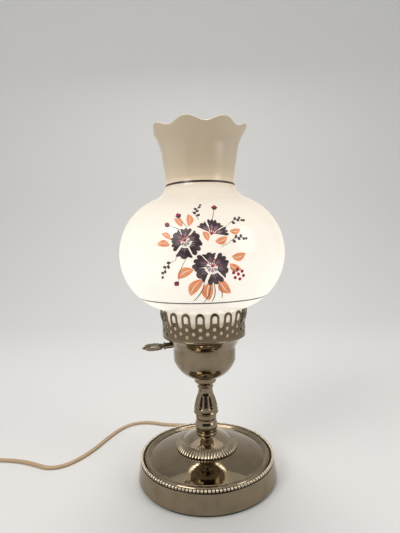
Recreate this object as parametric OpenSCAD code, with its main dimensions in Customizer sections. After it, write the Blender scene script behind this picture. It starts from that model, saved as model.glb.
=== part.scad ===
// Electric table lamp in the form of an old oil lamp, in millimetres.
// The origin is on the lamp's axis where the felt foot stands, and +Z is up.
// The key points to the left and the mains lead leaves at the back.

/* [Base] */
// Radius of the base at its foot
base_r = 73; // [68:0.5:85]
// Height of the step that carries the beads, above the table
base_h = 21; // [19:0.5:26]
// How far the skirt leans in from foot to step
skirt_lean = 2.5; // [1:0.1:3.5]
// Radius of the rolled edge at the foot
foot_roll = 2; // [1.5:0.1:3]
// Sheet thickness of the spun base
base_sheet = 1.2; // [0.8:0.1:1.4]
// Thickness of the felt pad
felt_t = 1.5; // [1:0.1:2.5]
// Diameter of one bead
bead_d = 3.2; // [2.8:0.1:3.4]
// Number of beads round the base
bead_count = 125; // [110:1:130]
// Diameter of the wire that joins the beads
bead_wire = 1.4; // [1:0.1:2]
// Width of the step that the beads lie on
bead_step = 4; // [3.6:0.1:5]
// Width of the smooth ridge inside the beads
ridge_w = 5; // [4:0.2:6]
// Height of the ridge above the step
ridge_h = 3.4; // [2.6:0.1:4]
// Depth of the trough inside the ridge, below its top
trough_d = 2; // [1:0.1:2.4]
// Rise of the crowned plate from trough to cap
plate_rise = 8.6; // [6:0.2:11]
// Crown of the plate above a straight slope
plate_crown = 0.8; // [0.4:0.1:1.6]
// Radius of the iron weight
weight_r = 48; // [40:1:50]
// Depth of the iron weight
weight_h = 13; // [11:0.5:14]

/* [Ribbed cap] */
// Radius of the cap's rim
cap_r = 33; // [30:0.5:36]
// Height of the cap over the plate
cap_h = 13.8; // [11:0.2:16]
// Radius of the cap's flat top
cap_top_r = 11.8; // [11.8:0.1:13]
// Bulge of the cap above a straight slope
cap_bulge = 1; // [0.5:0.1:2]
// Sheet thickness of the cap
cap_sheet = 1.2; // [0.9:0.1:1.4]
// Height of the rim band under the ribs
rim_h = 1.6; // [1.2:0.1:2.2]
// Number of ribs
rib_count = 60; // [48:1:62]
// Rib radius at the rim
rib_r = 1.45; // [1.2:0.05:1.55]
// Length of a rib
rib_l = 8; // [6:0.5:10]

/* [Stem] */
// Outer diameter of the threaded pipe
pipe_d = 9.7; // [9:0.1:10.2]
// Bore of the threaded pipe
pipe_bore = 6.8; // [6.2:0.1:7.2]
// Radial clearance round the pipe
pipe_clear = 0.15; // [0.1:0.05:0.3]
// Radius and height of the ring at the stem's foot
ring_r = 11.5; // [11:0.1:11.8]
ring_h = 2; // [1.5:0.1:3]
// Radius of the knop at its widest
knop_r = 12.1; // [11.4:0.1:14]
// Height of the knop
knop_h = 15; // [12:0.5:20]
// Radius of the disc over the knop
disc_r = 13; // [12.6:0.1:15]
// Height of the disc
disc_h = 7.5; // [6:0.5:9]
// Radius of the fluted column at its foot
column_r = 12.6; // [12.2:0.1:13]
// Radius of the fluted column's neck
column_neck_r = 7.6; // [7.3:0.1:8.2]
// Height of the fluted column
column_h = 24.5; // [22:0.5:30]
// Number of flutes
flute_count = 8; // [6:1:10]
// Flute width at the foot
flute_w = 7.4; // [6:0.2:7.6]
// Depth of a flute
flute_d = 1.7; // [1:0.1:1.9]
// Radius of the collar under the cup
collar_r = 11.6; // [11:0.1:13]
// Height of the collar
collar_h = 11; // [9:0.5:14]

/* [Socket cup] */
// Radius of the cup's straight wall
cup_r = 32.5; // [29:0.5:35]
// Radius of the cup's flat foot
cup_foot_r = 13; // [12:0.5:15]
// Height of the cup's round bottom
cup_bowl_h = 19.5; // [16:0.5:22]
// Bulge of the round bottom
cup_bulge = 3.4; // [2.5:0.1:4]
// Height of the cup's straight wall
cup_wall_h = 14.2; // [10:0.1:18]
// Height of the flared shoulder
shoulder_h = 13; // [10.5:0.5:15]
// Hollow of the flared shoulder
shoulder_hollow = 1; // [0.4:0.1:1.6]
// Sheet thickness of the cup
cup_sheet = 1; // [0.8:0.1:1.2]

/* [Gallery] */
// Outer radius of the pierced crown
crown_r = 43.3; // [42.5:0.1:46]
// Sheet thickness of the crown and its seat
crown_sheet = 0.8; // [0.6:0.1:1]
// Height of the crown
crown_h = 27; // [26:0.2:29]
// How far the arches flare outwards
crown_flare = 3.9; // [3:0.1:4.4]
// Height at which the flare starts
flare_start = 13; // [11:0.5:15]
// Number of arches
arch_count = 20; // [18:1:21]
// Outer width of an arch
arch_w = 9.3; // [8.4:0.1:9.8]
// Width of the opening in an arch
arch_gap = 4.8; // [4:0.1:5.4]
// Height of the arch openings' flat sill
sill_z = 17; // [16:0.1:18]
// Height of the slots' foot between the arches
slot_z = 14.2; // [13.6:0.1:15]
// Radius of the round foot of a slot
slot_foot_r = 2; // [1.7:0.1:2.2]
// Diameter of the pierced holes
hole_d = 3.6; // [2.6:0.1:3.8]
// Heights of the three rows of holes
row_low = 3.6; // [3:0.1:4]
row_mid = 6.9; // [6.6:0.1:7.3]
row_high = 11; // [10.6:0.1:11.4]

/* [Glass shade] */
// Gap between the crown and the glass's fitter neck
fitter_gap = 4.5; // [4:0.1:5.5]
// Radius of the globe at its widest
globe_r = 84.5; // [78:0.5:90]
// Height of the globe's widest line above the shade's foot
globe_mid = 83; // [80:0.5:90]
// Radius of the globe's round as seen from the side
globe_bend = 59.5; // [57:0.5:62]
// Radius of the hollow between neck and globe
neck_bend = 10; // [8:0.5:12]
// Radius of the waist under the chimney
waist_r = 35; // [34:0.5:40]
// Radius of the hollow at the waist
waist_bend = 20; // [14:0.5:24]
// Slope of the chimney, in degrees
chimney_lean = 8.4; // [4:0.2:11]
// Height of the plain chimney above the shade's foot
chimney_h = 187.6; // [182:0.5:194]
// Height of the ruffle above the chimney
ruffle_h = 18.8; // [14:0.2:22]
// How far the ruffle flares
ruffle_flare = 7; // [4:0.2:9]
// Number of crimps
crimp_count = 8; // [6:1:10]
// Rise and fall of the crimped edge
crimp_z = 2.3; // [1:0.1:3]
// In and out of the crimped edge
crimp_r = 1.7; // [0.5:0.1:2.5]
// Thickness of the glass
glass_t = 2.6; // [2:0.1:3.2]

/* [Socket and bulb] */
// Radius of the socket's outer shell
socket_r = 16.6; // [16.3:0.1:17.4]
// Height of the socket's outer shell
socket_h = 42.5; // [42:0.5:46]
// Radius of the bulb's screw base
screw_r = 13; // [12.8:0.1:13.1]
// Radial clearance of the screw base
screw_clear = 0.08; // [0.05:0.01:0.1]
// Radius of the bulb's glass
bulb_r = 30; // [26:0.5:32]
// Height of the bulb's glass
bulb_h = 80; // [76:0.5:90]

/* [Key] */
// Radius of the key's shaft
shaft_r = 2; // [1.6:0.1:2.2]
// Running clearance round the shaft
shaft_clear = 0.05; // [0.02:0.01:0.1]
// Which way the key points, in degrees from +X
key_turned = 200; // [180:1:215]
// Height of the shaft above the cup's foot
key_up = 37.5; // [36:0.1:38]
// Length of the key's loop
loop_l = 18; // [14:0.5:22]
// Width of the key's loop
loop_w = 13.2; // [11:0.2:15]
// Thickness of the key's loop
loop_t = 2; // [1.5:0.1:2.6]
// How far the loop is turned about the shaft, in degrees
loop_tilt = -11; // [-45:1:45]

/* [Mains lead] */
// Width of the flat two-core lead
lead_w = 5.2; // [4.8:0.1:5.6]
// Thickness of the flat two-core lead
lead_t = 2.8; // [2.4:0.1:3]
// Where the lead leaves the base, in degrees from +X
exit_turned = 100; // [95:1:110]
// Height at which the lead leaves the base
exit_z = 9; // [8:0.5:11]
// Length of the bushing outside the base
relief_l = 14; // [10:0.5:16]

/* [Hidden] */
$fn = 96;

// What stands on what, from the table up
pipe_r = pipe_d / 2;
stem_bore = pipe_r + pipe_clear;
skirt_top_r = base_r - skirt_lean;
bead_r = skirt_top_r - 1.5;
bead_z = base_h + bead_d / 2;
ridge_r = skirt_top_r - bead_step - ridge_w / 2;
trough_r = ridge_r - ridge_w / 2 - 1;
trough_z = base_h + ridge_h - trough_d;
plate_z = trough_z + plate_rise;
cap_top_z = plate_z + cap_h;
knop_z = cap_top_z + ring_h;
disc_z = knop_z + knop_h;
column_z = disc_z + disc_h;
collar_z = column_z + column_h;
cup_z = collar_z + collar_h;
shoulder_z = cup_z + cup_bowl_h + cup_wall_h;
seat_z = shoulder_z + shoulder_h;
crown_z = seat_z + crown_sheet;
weight_z = plate_z - base_sheet - weight_h;
nut_h = 4;
nut_r = 8.6;
washer_t = 1;
pipe_foot_z = weight_z - washer_t - nut_h - 1;
cup_nut_z = cup_z + cup_sheet;
socket_z = cup_nut_z + nut_h;

// Where the ribs start on the cap's slope, and how far they swell above it
rib_past = 0.5;
rib_foot_z = plate_z + rim_h + (cap_h - rim_h) * (rib_l + rib_past) / (cap_r - cap_top_r) + rib_past * 1.2;
rib_swell = rib_r * 0.6;
groove_more = 0.2;

// The socket and the bulb in it
socket_t = 0.5;
cap_hub_r = 7.4;
cap_hub_h = 8;
cap_skirt_h = 6;
cap_dome_h = 9;
shell_z = socket_z + cap_hub_h + cap_dome_h;
liner_t = 0.7;
liner_gap = 0.1;
body_r = socket_r - socket_t - liner_t - 2 * liner_gap - 0.4;
screw_wall = 0.35;
screw_h = 21;
contact_h = 1.6;
tip_h = 1.6;
insulator_h = 3;
bulb_base_h = 20;
bulb_wall = 0.8;
mount_h = 34;
mount_r = 2.2;
mount_flare_h = 22;
mount_foot_h = 3;
filament_h = 6;
filament_l = 24;

// The key's axis, the switch it turns, and the bulb's seat over it
key_z = cup_z + key_up;
rotor_r = 4;
rotor_l = 5;
rotor_at = 4;
body_top_z = key_z + rotor_r + 1.3;
body_h = body_top_z - shell_z;
bulb_z = body_top_z + contact_h + 0.4;
bulb_glass_z = bulb_z + tip_h + insulator_h + bulb_base_h;
ferrule_r = shaft_r + shaft_clear + 0.9;
ferrule_out = crown_r + 0.6;
ferrule_l = 9;
loop_at = crown_r + 2.6;
loop_bead_r = 1.4;

// The lead's way out through the skirt
exit_r = base_r - skirt_lean * (exit_z - felt_t) / (base_h - felt_t);
bushing_in = 6;
exit_way = [cos(exit_turned), sin(exit_turned)];
lead_exit = (exit_r + relief_l) * exit_way;
lead_gate = exit_r * exit_way;

// The shade's glass stands inside the crown, with a hair of play over the seat
fitter_r = crown_r - crown_sheet - fitter_gap;
shade_play = 0.2;
shade_z = crown_z + shade_play;
globe_c = [globe_r - globe_bend, shade_z + globe_mid];
neck_dx = fitter_r + neck_bend - globe_c.x;
neck_c = [fitter_r + neck_bend, globe_c.y - sqrt(pow(globe_bend + neck_bend, 2) - pow(neck_dx, 2))];
waist_dx = waist_r + waist_bend - globe_c.x;
waist_c = [waist_r + waist_bend, globe_c.y + sqrt(pow(globe_bend + waist_bend, 2) - pow(waist_dx, 2))];
chimney_foot = waist_c + waist_bend * [-cos(chimney_lean), sin(chimney_lean)];
chimney_z = shade_z + chimney_h;
chimney_r = chimney_foot.x + (chimney_z - chimney_foot.y) * tan(chimney_lean);
crest_turned = -60;

// The lead's way over the table, from the bushing to the coil, and from the coil to the plug
coil_at = [-280, 6.4];
coil_r = 30.5;
coil_cols = 2;
coil_layers = 4;
coil_play = 0.1;
lead_route = [[-16.5, 94, 7.4], [-20.5, 101.5, 4.8], [-27, 107.5, 2.6], [-36, 111, 1.6], [-46, 112.5, 1.5],
    [-58.5, 115, 1.5], [-71.5, 119.5, 1.5], [-84, 121.5, 1.5], [-97, 119, 1.5], [-108, 111, 1.5],
    [-116.5, 98.5, 1.5], [-123.5, 83.5, 1.5], [-129, 69.5, 1.5], [-134, 56.5, 1.5], [-139.5, 44.5, 1.5],
    [-145.5, 34, 1.5], [-152.5, 25, 1.5], [-160.5, 18, 1.5], [-169.5, 14.5, 1.5], [-179.5, 15, 1.5],
    [-190, 19.5, 1.5], [-202, 25, 1.5], [-214, 29, 1.5], [-226, 31.5, 1.5], [-240, 33.5, 1.5],
    [-254, 36, 1.5], [-267, 38.5, 1.5], [-280, 39.5, 1.5]];
tail_route = [[-303.4, -17, 10.4], [-297.5, -23, 9.7], [-291, -29.5, 7.8], [-284.5, -36, 6], [-279.5, -41, 5.7],
    [-277.5, -43, 5.7]];
plug_l = 24;
plug_w = 21;
plug_t = 11;
blade_l = 16;
blade_w = 6.35;
blade_t = 1.5;
blade_apart = 12.7;
plug_turned = -45;
inner_route = [[-9, 53, 7.8], [-7, 42, 6], [-3, 24, 4.6], [-0.5, 10, 4.8], [0, 3, 6.4], [0, 0.4, 10]];

// A unit vector, and the vector a quarter turn to its left
function unit(v) = v / norm(v);
function left(v) = [-v.y, v.x];
// Points on an arc about c, from angle a to angle b
function arc(c, r, a, b, n = 8) = [for (i = [0:n]) c + r * [cos(a + (b - a) * i / n), sin(a + (b - a) * i / n)]];
// Points from a to b, without a, on a round that bulges to the left by sag
function bow(a, b, sag, n = 8) =
    let (c = norm(b - a), r = (c * c / 4 + sag * sag) / (2 * abs(sag)), s = sign(sag), u = (b - a) / c)
    let (mid = (a + b) / 2 - left(u) * s * (r - abs(sag)), half = asin(c / 2 / r))
    [for (i = [1:n]) let (t = half * (2 * i / n - 1)) mid + left(u) * s * r * cos(t) + u * r * sin(t)];
// The path again, moved to its left by t
function beside(p, t) = [for (i = [0:len(p) - 1])
    let (a = unit(p[max(i, 1)] - p[max(i, 1) - 1]))
    let (j = min(i, len(p) - 2), b = unit(p[j + 1] - p[j]), m = left(a) + left(b))
    p[i] + 2 * t * m / (m * m)];
function backwards(p) = [for (i = [len(p) - 1:-1:0]) p[i]];
// A strip of thickness t on the left of a path, closed
function strip(p, t) = concat(p, backwards(beside(p, t)));

// A sheet spun round the axis, from the path of its outer face
module spun(path, t) {
    rotate_extrude() polygon(strip(path, t));
}

// A turned piece from its outer path, bored for the pipe
module turned(path) {
    last = path[len(path) - 1];
    rotate_extrude() polygon(concat([[stem_bore, path[0].y]], path, [[stem_bore, last.y]]));
}

// A flat lead swept along its points, broad side down
module swept_lead(route, w, t) {
    last = len(route) - 1;
    points = [for (i = [0:last])
        let (ahead = unit(route[min(i + 1, last)] - route[max(i - 1, 0)]))
        let (level = cross(ahead, [0, 0, 1]), side = norm(level) > 0.001 ? unit(level) : [-1, 0, 0])
        let (up = cross(side, ahead))
        for (k = [0:7]) route[i] + side * w / 2 * ring_x(k) + up * t / 2 * ring_y(k)];
    walls = [for (i = [0:last - 1]) for (k = [0:7]) let (a = 8 * i + k, b = 8 * i + (k + 1) % 8)
        [a, b, b + 8, a + 8]];
    ends = [[for (k = [7:-1:0]) k], [for (k = [0:7]) 8 * last + k]];
    polyhedron(points = points, faces = concat(ends, walls));
}
// The eight corners of a lead's section, flat below and above and round at the sides
function ring_x(k) = [1, 0.72, -0.72, -1, -1, -0.72, 0.72, 1][k];
function ring_y(k) = [0.42, 1, 1, 0.42, -0.42, -1, -1, -0.42][k];

module hex_nut(z) {
    translate([0, 0, z]) difference() {
        cylinder(r = nut_r, h = nut_h, $fn = 6);
        translate([0, 0, -1]) cylinder(r = pipe_r + pipe_clear / 2, h = nut_h + 2);
    }
}

// Stands a child on the key's axis, with +Z outwards
module along_key() {
    rotate([0, 0, key_turned]) translate([0, 0, key_z]) rotate([0, 90, 0]) children();
}

module felt_pad() {
    color("darkolivegreen") cylinder(r = base_r - foot_roll, h = felt_t);
}

// Outer face of the base, from the flat under the ribbed cap out to the foot
flat_r = cap_r - 2;
base_path = concat([[stem_bore, plate_z], [flat_r, plate_z]],
    bow([flat_r, plate_z], [trough_r - 1, trough_z], plate_crown, 10),
    bow([trough_r - 1, trough_z], [trough_r + 1, trough_z], -0.4, 3),
    bow([trough_r + 1, trough_z], [ridge_r + ridge_w / 2, base_h + 0.5], ridge_w * 0.36, 10),
    [[skirt_top_r - bead_step + 0.6, base_h], [skirt_top_r - 0.8, base_h]],
    bow([skirt_top_r - 0.8, base_h], [skirt_top_r, base_h - 0.8], 0.23, 4),
    [[base_r, felt_t + foot_roll]],
    bow([base_r, felt_t + foot_roll], [base_r - foot_roll, felt_t], foot_roll * 0.29, 5));

module base_shell() {
    color("goldenrod") difference() {
        spun(base_path, -base_sheet);
        rotate([0, 0, exit_turned]) translate([base_r - 12, 0, exit_z]) rotate([0, 90, 0])
            cylinder(r = bushing_r, h = 20);
    }
}

module base_weight() {
    top = plate_z - base_sheet;
    edge_z = trough_z - base_sheet + plate_rise * (trough_r - 1 - weight_r) / (trough_r - 1 - flat_r);
    color("dimgray") rotate_extrude() polygon([[stem_bore, weight_z], [weight_r, weight_z],
        [weight_r, edge_z - 0.3], [flat_r - 0.5, top - 0.1], [flat_r - 1, top], [stem_bore, top]]);
}

module base_washer() {
    color("silver") translate([0, 0, weight_z - washer_t]) difference() {
        cylinder(r = nut_r + 3, h = washer_t);
        translate([0, 0, -1]) cylinder(r = stem_bore, h = washer_t + 2);
    }
}

module base_nut() {
    color("silver") hex_nut(weight_z - washer_t - nut_h);
}

module cup_nut() {
    color("silver") hex_nut(cup_nut_z);
}

// A string of beads on a wire, laid on the step of the base
module beaded_trim() {
    color("gold") {
        rotate_extrude() translate([bead_r, bead_z]) circle(d = bead_wire);
        for (i = [0:bead_count - 1]) rotate([0, 0, 360 / bead_count * i])
            translate([bead_r, 0, bead_z]) sphere(d = bead_d, $fn = 24);
    }
}

// Outer face of the ribbed cap, from its flat top down over the ribs to its rim
cap_path = concat([[stem_bore, cap_top_z], [cap_top_r, cap_top_z]],
    bow([cap_top_r, cap_top_z], [cap_r - rib_l - rib_past, rib_foot_z], cap_bulge * 0.5, 6),
    bow([cap_r - rib_l - rib_past, rib_foot_z], [cap_r, plate_z + rim_h], rib_swell, 6),
    [[cap_r, plate_z]]);

// One groove between two ribs: down the cap's slope and over its rim
module rib_groove() {
    slope = atan2(cap_h - rim_h, cap_r - rib_r - cap_top_r);
    groove_r = PI * cap_r / rib_count - rib_r + groove_more;
    translate([cap_r, 0, plate_z + rim_h]) {
        rotate([0, slope - 90, 0]) cylinder(r1 = groove_r, r2 = groove_r * 0.35, h = rib_l, $fn = 24);
        translate([0, 0, -1.6 * rim_h]) cylinder(r = groove_r, h = 1.85 * rim_h, $fn = 24);
    }
}

module ribbed_cap() {
    color("goldenrod") difference() {
        spun(cap_path, -cap_sheet);
        for (i = [0:rib_count - 1]) rotate([0, 0, 360 / rib_count * i]) rib_groove();
    }
}

module stem_ring() {
    color("gold") translate([0, 0, cap_top_z])
        turned(concat([[ring_r - 0.6, 0]], bow([ring_r - 0.6, 0], [ring_r - 0.6, ring_h], -0.6, 6)));
}

module stem_knop() {
    neck = knop_r - 1.7;
    shoulder = knop_h * 0.75;
    color("goldenrod") translate([0, 0, knop_z]) turned(concat([[neck, 0], [neck, 0.6]],
        bow([neck, 0.6], [neck + 0.3, shoulder], -1.4, 12),
        bow([neck + 0.3, shoulder], [neck + 0.5, knop_h], 0.25, 6)));
}

module stem_disc() {
    low = knop_r - 1.2;
    color("gold") translate([0, 0, disc_z]) turned(concat([[low, 0], [low, disc_h * 0.5]],
        bow([low, disc_h * 0.5], [disc_r - 0.5, disc_h - 2.6], 0.3, 4),
        bow([disc_r - 0.5, disc_h - 2.6], [disc_r - 0.5, disc_h - 1], -0.5, 5), [[disc_r - 1, disc_h]]));
}

// Radius of the column at a height over its foot, swelling a little above a straight taper
column_shoulder = column_h - 7.6;
column_path = concat([[column_r - 0.9, 0], [column_r, 0.6], [column_r, 1.6]],
    bow([column_r, 1.6], [column_neck_r + 0.9, column_shoulder], -0.6, 8),
    bow([column_neck_r + 0.9, column_shoulder], [column_neck_r, column_h - 2], 0.25, 4),
    [[column_neck_r, column_h]]);

module fluted_column() {
    run = column_shoulder - 1.6;
    taper = atan2(column_r - column_neck_r - 0.9, run);
    foot_rise = 3.4;
    foot_ball = (flute_w * flute_w / 4 + flute_d * flute_d) / (2 * flute_d);
    top_ball = foot_ball * 0.62;
    length = (run - foot_rise - 1.2) / cos(taper);
    foot_at = column_r - foot_rise * tan(taper) + 0.5;
    color("goldenrod") translate([0, 0, column_z]) difference() {
        turned(column_path);
        for (i = [0:flute_count - 1]) rotate([0, 0, 360 / flute_count * (i + 0.5) - 90])
            translate([foot_at, 0, 1.6 + foot_rise]) rotate([0, -taper, 0])
                translate([foot_ball - flute_d, 0, 0]) {
                    sphere(r = foot_ball);
                    rotate([0, -atan2(foot_ball - top_ball, length), 0])
                        cylinder(r1 = foot_ball, r2 = top_ball, h = length);
                    translate([top_ball - foot_ball, 0, length]) sphere(r = top_ball);
                }
    }
}

module stem_collar() {
    rim = column_neck_r + 1;
    color("gold") translate([0, 0, collar_z]) turned(concat([[rim - 0.7, 0]],
        bow([rim - 0.7, 0], [rim - 0.7, 1.8], -0.7, 6),
        bow([rim - 0.7, 1.8], [collar_r - 0.4, collar_h * 0.55], 0.9, 6),
        bow([collar_r - 0.4, collar_h * 0.55], [collar_r, collar_h - 1], -0.3, 4), [[collar_r, collar_h]]));
}

module threaded_pipe() {
    top_z = socket_z + cap_hub_h - 2;
    color("darkgoldenrod") translate([0, 0, pipe_foot_z]) difference() {
        cylinder(r = pipe_r, h = top_z - pipe_foot_z);
        translate([0, 0, -1]) cylinder(d = pipe_bore, h = top_z - pipe_foot_z + 2);
    }
}

// Outer face of the cup, from its foot up to the rim of the flared shoulder
cup_rim_r = crown_r - 0.5;
cup_path = concat([[stem_bore, cup_z], [cup_foot_r, cup_z]],
    bow([cup_foot_r, cup_z], [cup_r, cup_z + cup_bowl_h], -cup_bulge, 10),
    bow([cup_r, cup_z + cup_bowl_h], [cup_r, shoulder_z - 1], -0.2, 4),
    bow([cup_r, shoulder_z - 1], [cup_rim_r, seat_z - 1.4], shoulder_hollow, 8), [[cup_rim_r, seat_z]]);

module socket_cup() {
    color("goldenrod") difference() {
        union() {
            spun(cup_path, cup_sheet);
            rotate_extrude() translate([cup_rim_r - 0.2, seat_z - 1]) circle(r = 0.8);
        }
        along_key() cylinder(r = ferrule_r + shaft_clear, h = crown_r + 6);
    }
}

// A flat ring over the cup that carries the crown and the foot of the glass
module shade_seat() {
    color("darkgoldenrod") translate([0, 0, seat_z]) difference() {
        cylinder(r = crown_r, h = crown_sheet);
        translate([0, 0, -1]) cylinder(r = socket_r + 1.2, h = crown_sheet + 2);
    }
}

// Outer face of the crown before it is cut, straight up and then flared past the tips of the arches
crown_spare = 0.6;
crown_path = concat([[crown_r, 0], [crown_r, flare_start]],
    bow([crown_r, flare_start], [crown_r + crown_flare, crown_h + crown_spare], -0.9, 6));
crown_reach = crown_r + crown_flare + 2;
half_pitch = crown_reach * tan(180 / arch_count);

// What is cut from the crown round one arch: both shoulders, the opening and two holes
module arch_cuts() {
    difference() {
        translate([-half_pitch, slot_z]) square([2 * half_pitch, crown_h - slot_z + 2]);
        translate([-arch_w / 2, slot_z - 1]) square([arch_w, crown_h - slot_z + 1 - arch_w / 2]);
        translate([0, crown_h - arch_w / 2]) circle(d = arch_w);
    }
    translate([-arch_gap / 2, sill_z]) square([arch_gap, crown_h - sill_z - arch_w / 2 - 0.6]);
    translate([0, crown_h - arch_w / 2 - 0.6]) circle(d = arch_gap);
    translate([0, row_low]) circle(d = hole_d);
    translate([0, row_high]) circle(d = hole_d);
}

// What is cut between two arches: the slot's round foot with its point, and one hole
module slot_cuts() {
    translate([0, slot_z]) circle(r = slot_foot_r);
    translate([0, slot_z - 0.5]) rotate(45) square(slot_foot_r * 1.5, center = true);
    translate([0, row_mid]) circle(d = hole_d);
}

// Turns a drawing upright, so that it is pressed through the crown's wall at one place
module through_crown(turn) {
    rotate([0, 0, turn]) translate([0, -(crown_r - 6), 0]) rotate([90, 0, 0])
        linear_extrude(crown_flare + 10) children();
}

module gallery_crown() {
    step = 360 / arch_count;
    color("goldenrod") translate([0, 0, crown_z]) difference() {
        spun(crown_path, crown_sheet);
        for (i = [0:arch_count - 1]) {
            through_crown(-4.7 + step * i) arch_cuts();
            through_crown(-4.7 + step * (i + 0.5)) slot_cuts();
        }
    }
}

// A short tube in the cup's shoulder that the shaft runs in
module key_ferrule() {
    color("gold") along_key() difference() {
        union() {
            translate([0, 0, ferrule_out - ferrule_l]) cylinder(r = ferrule_r, h = ferrule_l);
            translate([0, 0, ferrule_out - 1.2]) cylinder(r = ferrule_r + 0.8, h = 1.2);
        }
        cylinder(r = shaft_r + shaft_clear, h = crown_r + 10);
    }
}

module key_shaft() {
    start = rotor_at + rotor_l;
    color("gold") along_key() translate([0, 0, start]) cylinder(r = shaft_r, h = loop_at - start);
}

// The key's flat loop with its slot, the beads along its root and the ball at its tip
module turn_key() {
    half = loop_w / 2;
    eye_r = half - 0.4;
    far = loop_l - half;
    slot_r = loop_w * 0.2;
    color("gold") along_key() translate([0, 0, loop_at]) rotate([0, 0, loop_tilt]) {
        rotate([0, 90, 0]) translate([0, 0, -loop_t / 2]) linear_extrude(loop_t) difference() {
            union() {
                translate([-half, 0]) circle(r = eye_r);
                translate([-far, 0]) circle(r = half);
                translate([-far, -half]) square([far - half, loop_w]);
            }
            translate([-half - 0.4, 0]) circle(r = slot_r);
            translate([-far + 0.4, 0]) circle(r = slot_r);
            translate([-far + 0.4, -slot_r]) square([far - half - 0.8, 2 * slot_r]);
        }
        for (s = [-1, 1], a = [28, 56, 84]) translate([0, s * eye_r * sin(a), half - eye_r * cos(a)])
            sphere(r = loop_bead_r);
        cylinder(r = shaft_r + 0.9, h = 2.4);
        translate([0, 0, loop_l + 0.8]) sphere(r = loop_bead_r + 0.1);
    }
}

// The cam that the key turns inside the socket
module switch_rotor() {
    color("ivory") along_key() translate([0, 0, rotor_at]) {
        cylinder(r = rotor_r * 0.62, h = rotor_l);
        linear_extrude(rotor_l - 1.5) square([2 * rotor_r * 0.92, 2.4], center = true);
    }
}

// Lower half of the socket's brass housing, screwed onto the pipe
module socket_cap() {
    rim = socket_r + socket_t + 0.1;
    path = concat([[cap_hub_r, socket_z], [cap_hub_r, socket_z + cap_hub_h - 1]],
        bow([cap_hub_r, socket_z + cap_hub_h - 1], [rim, shell_z - 2], -2, 8),
        [[rim, shell_z + cap_skirt_h]]);
    color("darkgoldenrod") {
        spun(path, socket_t);
        translate([0, 0, socket_z]) difference() {
            cylinder(r = cap_hub_r, h = cap_hub_h - 1);
            translate([0, 0, -1]) cylinder(r = pipe_r + pipe_clear / 2, h = cap_hub_h + 1);
        }
    }
}

// Upper half of the socket's housing, pushed into the cap
module socket_shell() {
    color("darkgoldenrod") translate([0, 0, shell_z]) difference() {
        union() {
            cylinder(r = socket_r, h = socket_h);
            translate([0, 0, socket_h]) rotate_extrude() translate([socket_r - 0.4, 0]) circle(r = 0.6);
        }
        translate([0, 0, -1]) cylinder(r = socket_r - socket_t, h = socket_h + 3);
        translate([0, 0, -shell_z]) along_key() cylinder(r = shaft_r + 0.6, h = socket_r + 4);
    }
}

// Board tube that keeps the screw shell off the brass
module socket_liner() {
    outer = socket_r - socket_t - liner_gap;
    color("tan") translate([0, 0, shell_z]) difference() {
        cylinder(r = outer, h = socket_h - 1);
        translate([0, 0, -1]) cylinder(r = outer - liner_t, h = socket_h + 1);
        translate([0, 0, -shell_z]) along_key() cylinder(r = shaft_r + 0.6, h = socket_r + 4);
    }
}

// Moulded block that holds the switch, the two screws and the screw shell
module socket_body() {
    color("saddlebrown") difference() {
        translate([0, 0, shell_z]) cylinder(r = body_r, h = body_h);
        for (s = [-1, 1]) translate([s * (body_r + 1), 0, shell_z + 3])
            cube([8, 9, 8], center = true);
        along_key() cylinder(r = shaft_r + shaft_clear, h = body_r + 4);
        along_key() translate([0, 0, rotor_at - 0.4]) cylinder(r = rotor_r + 0.2, h = rotor_l + 0.8);
    }
}

module terminal_screws() {
    for (s = [-1, 1]) color("gold") translate([s * (body_r - 3), 0, shell_z + 3.4]) rotate([0, s * 90, 0]) {
        cylinder(r = 2.8, h = 1.6);
    }
}

// The two cores, parted above the pipe and led to the screws
module lead_wires() {
    top = socket_z + cap_hub_h;
    for (s = [-1, 1]) color("gold") swept_lead([[s * 1.2, 0, top], [s * 2.2, 0, top + 4],
        [s * 5, 0.2, top + 6.4], [s * 9, 0.2, shell_z - 2.2], [s * (body_r - 1.6), 0, shell_z - 0.5]], 1.8, 1.8);
}

// Thin brass cup that the bulb's base screws into
module screw_shell() {
    inner = screw_r + screw_clear;
    color("gold") translate([0, 0, body_top_z]) difference() {
        cylinder(r = inner + screw_wall, h = screw_h);
        translate([0, 0, screw_wall]) cylinder(r = inner, h = screw_h);
        translate([0, 0, -1]) cylinder(r = 8, h = screw_h);
    }
}

module centre_contact() {
    color("gold") translate([0, 0, body_top_z]) cylinder(r = 3, h = contact_h);
}

module bulb_contact() {
    color("silver") translate([0, 0, bulb_z]) {
        cylinder(r1 = 3, r2 = 4.6, h = tip_h);
    }
}

module bulb_insulator() {
    color("black") translate([0, 0, bulb_z + tip_h]) cylinder(r1 = 5, r2 = 10, h = insulator_h);
}

module bulb_base() {
    color("silver") translate([0, 0, bulb_z + tip_h + insulator_h]) rotate_extrude()
        polygon([[9.2, 0], [10, 0], [screw_r, 2.4], [screw_r, bulb_base_h], [screw_r - 0.8, bulb_base_h],
            [screw_r - 0.8, 2.7]]);
}

// Pear-shaped bulb, from its neck up to the top of its round
bulb_c = [0, bulb_glass_z + bulb_h - bulb_r];
bulb_neck_r = screw_r - 0.2;
bulb_path = concat([[bulb_neck_r, bulb_glass_z], [bulb_neck_r + 0.6, bulb_glass_z + 7]],
    bow([bulb_neck_r + 0.6, bulb_glass_z + 7], bulb_c + bulb_r * [cos(24), -sin(24)], 1.6, 8),
    [for (i = [1:12]) bulb_c + bulb_r * [cos(-24 + 9.5 * i), sin(-24 + 9.5 * i)]]);

module bulb_glass() {
    color("white", 0.8) rotate_extrude()
        polygon([for (p = strip(bulb_path, bulb_wall)) [max(p.x, 0), p.y]]);
}

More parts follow.
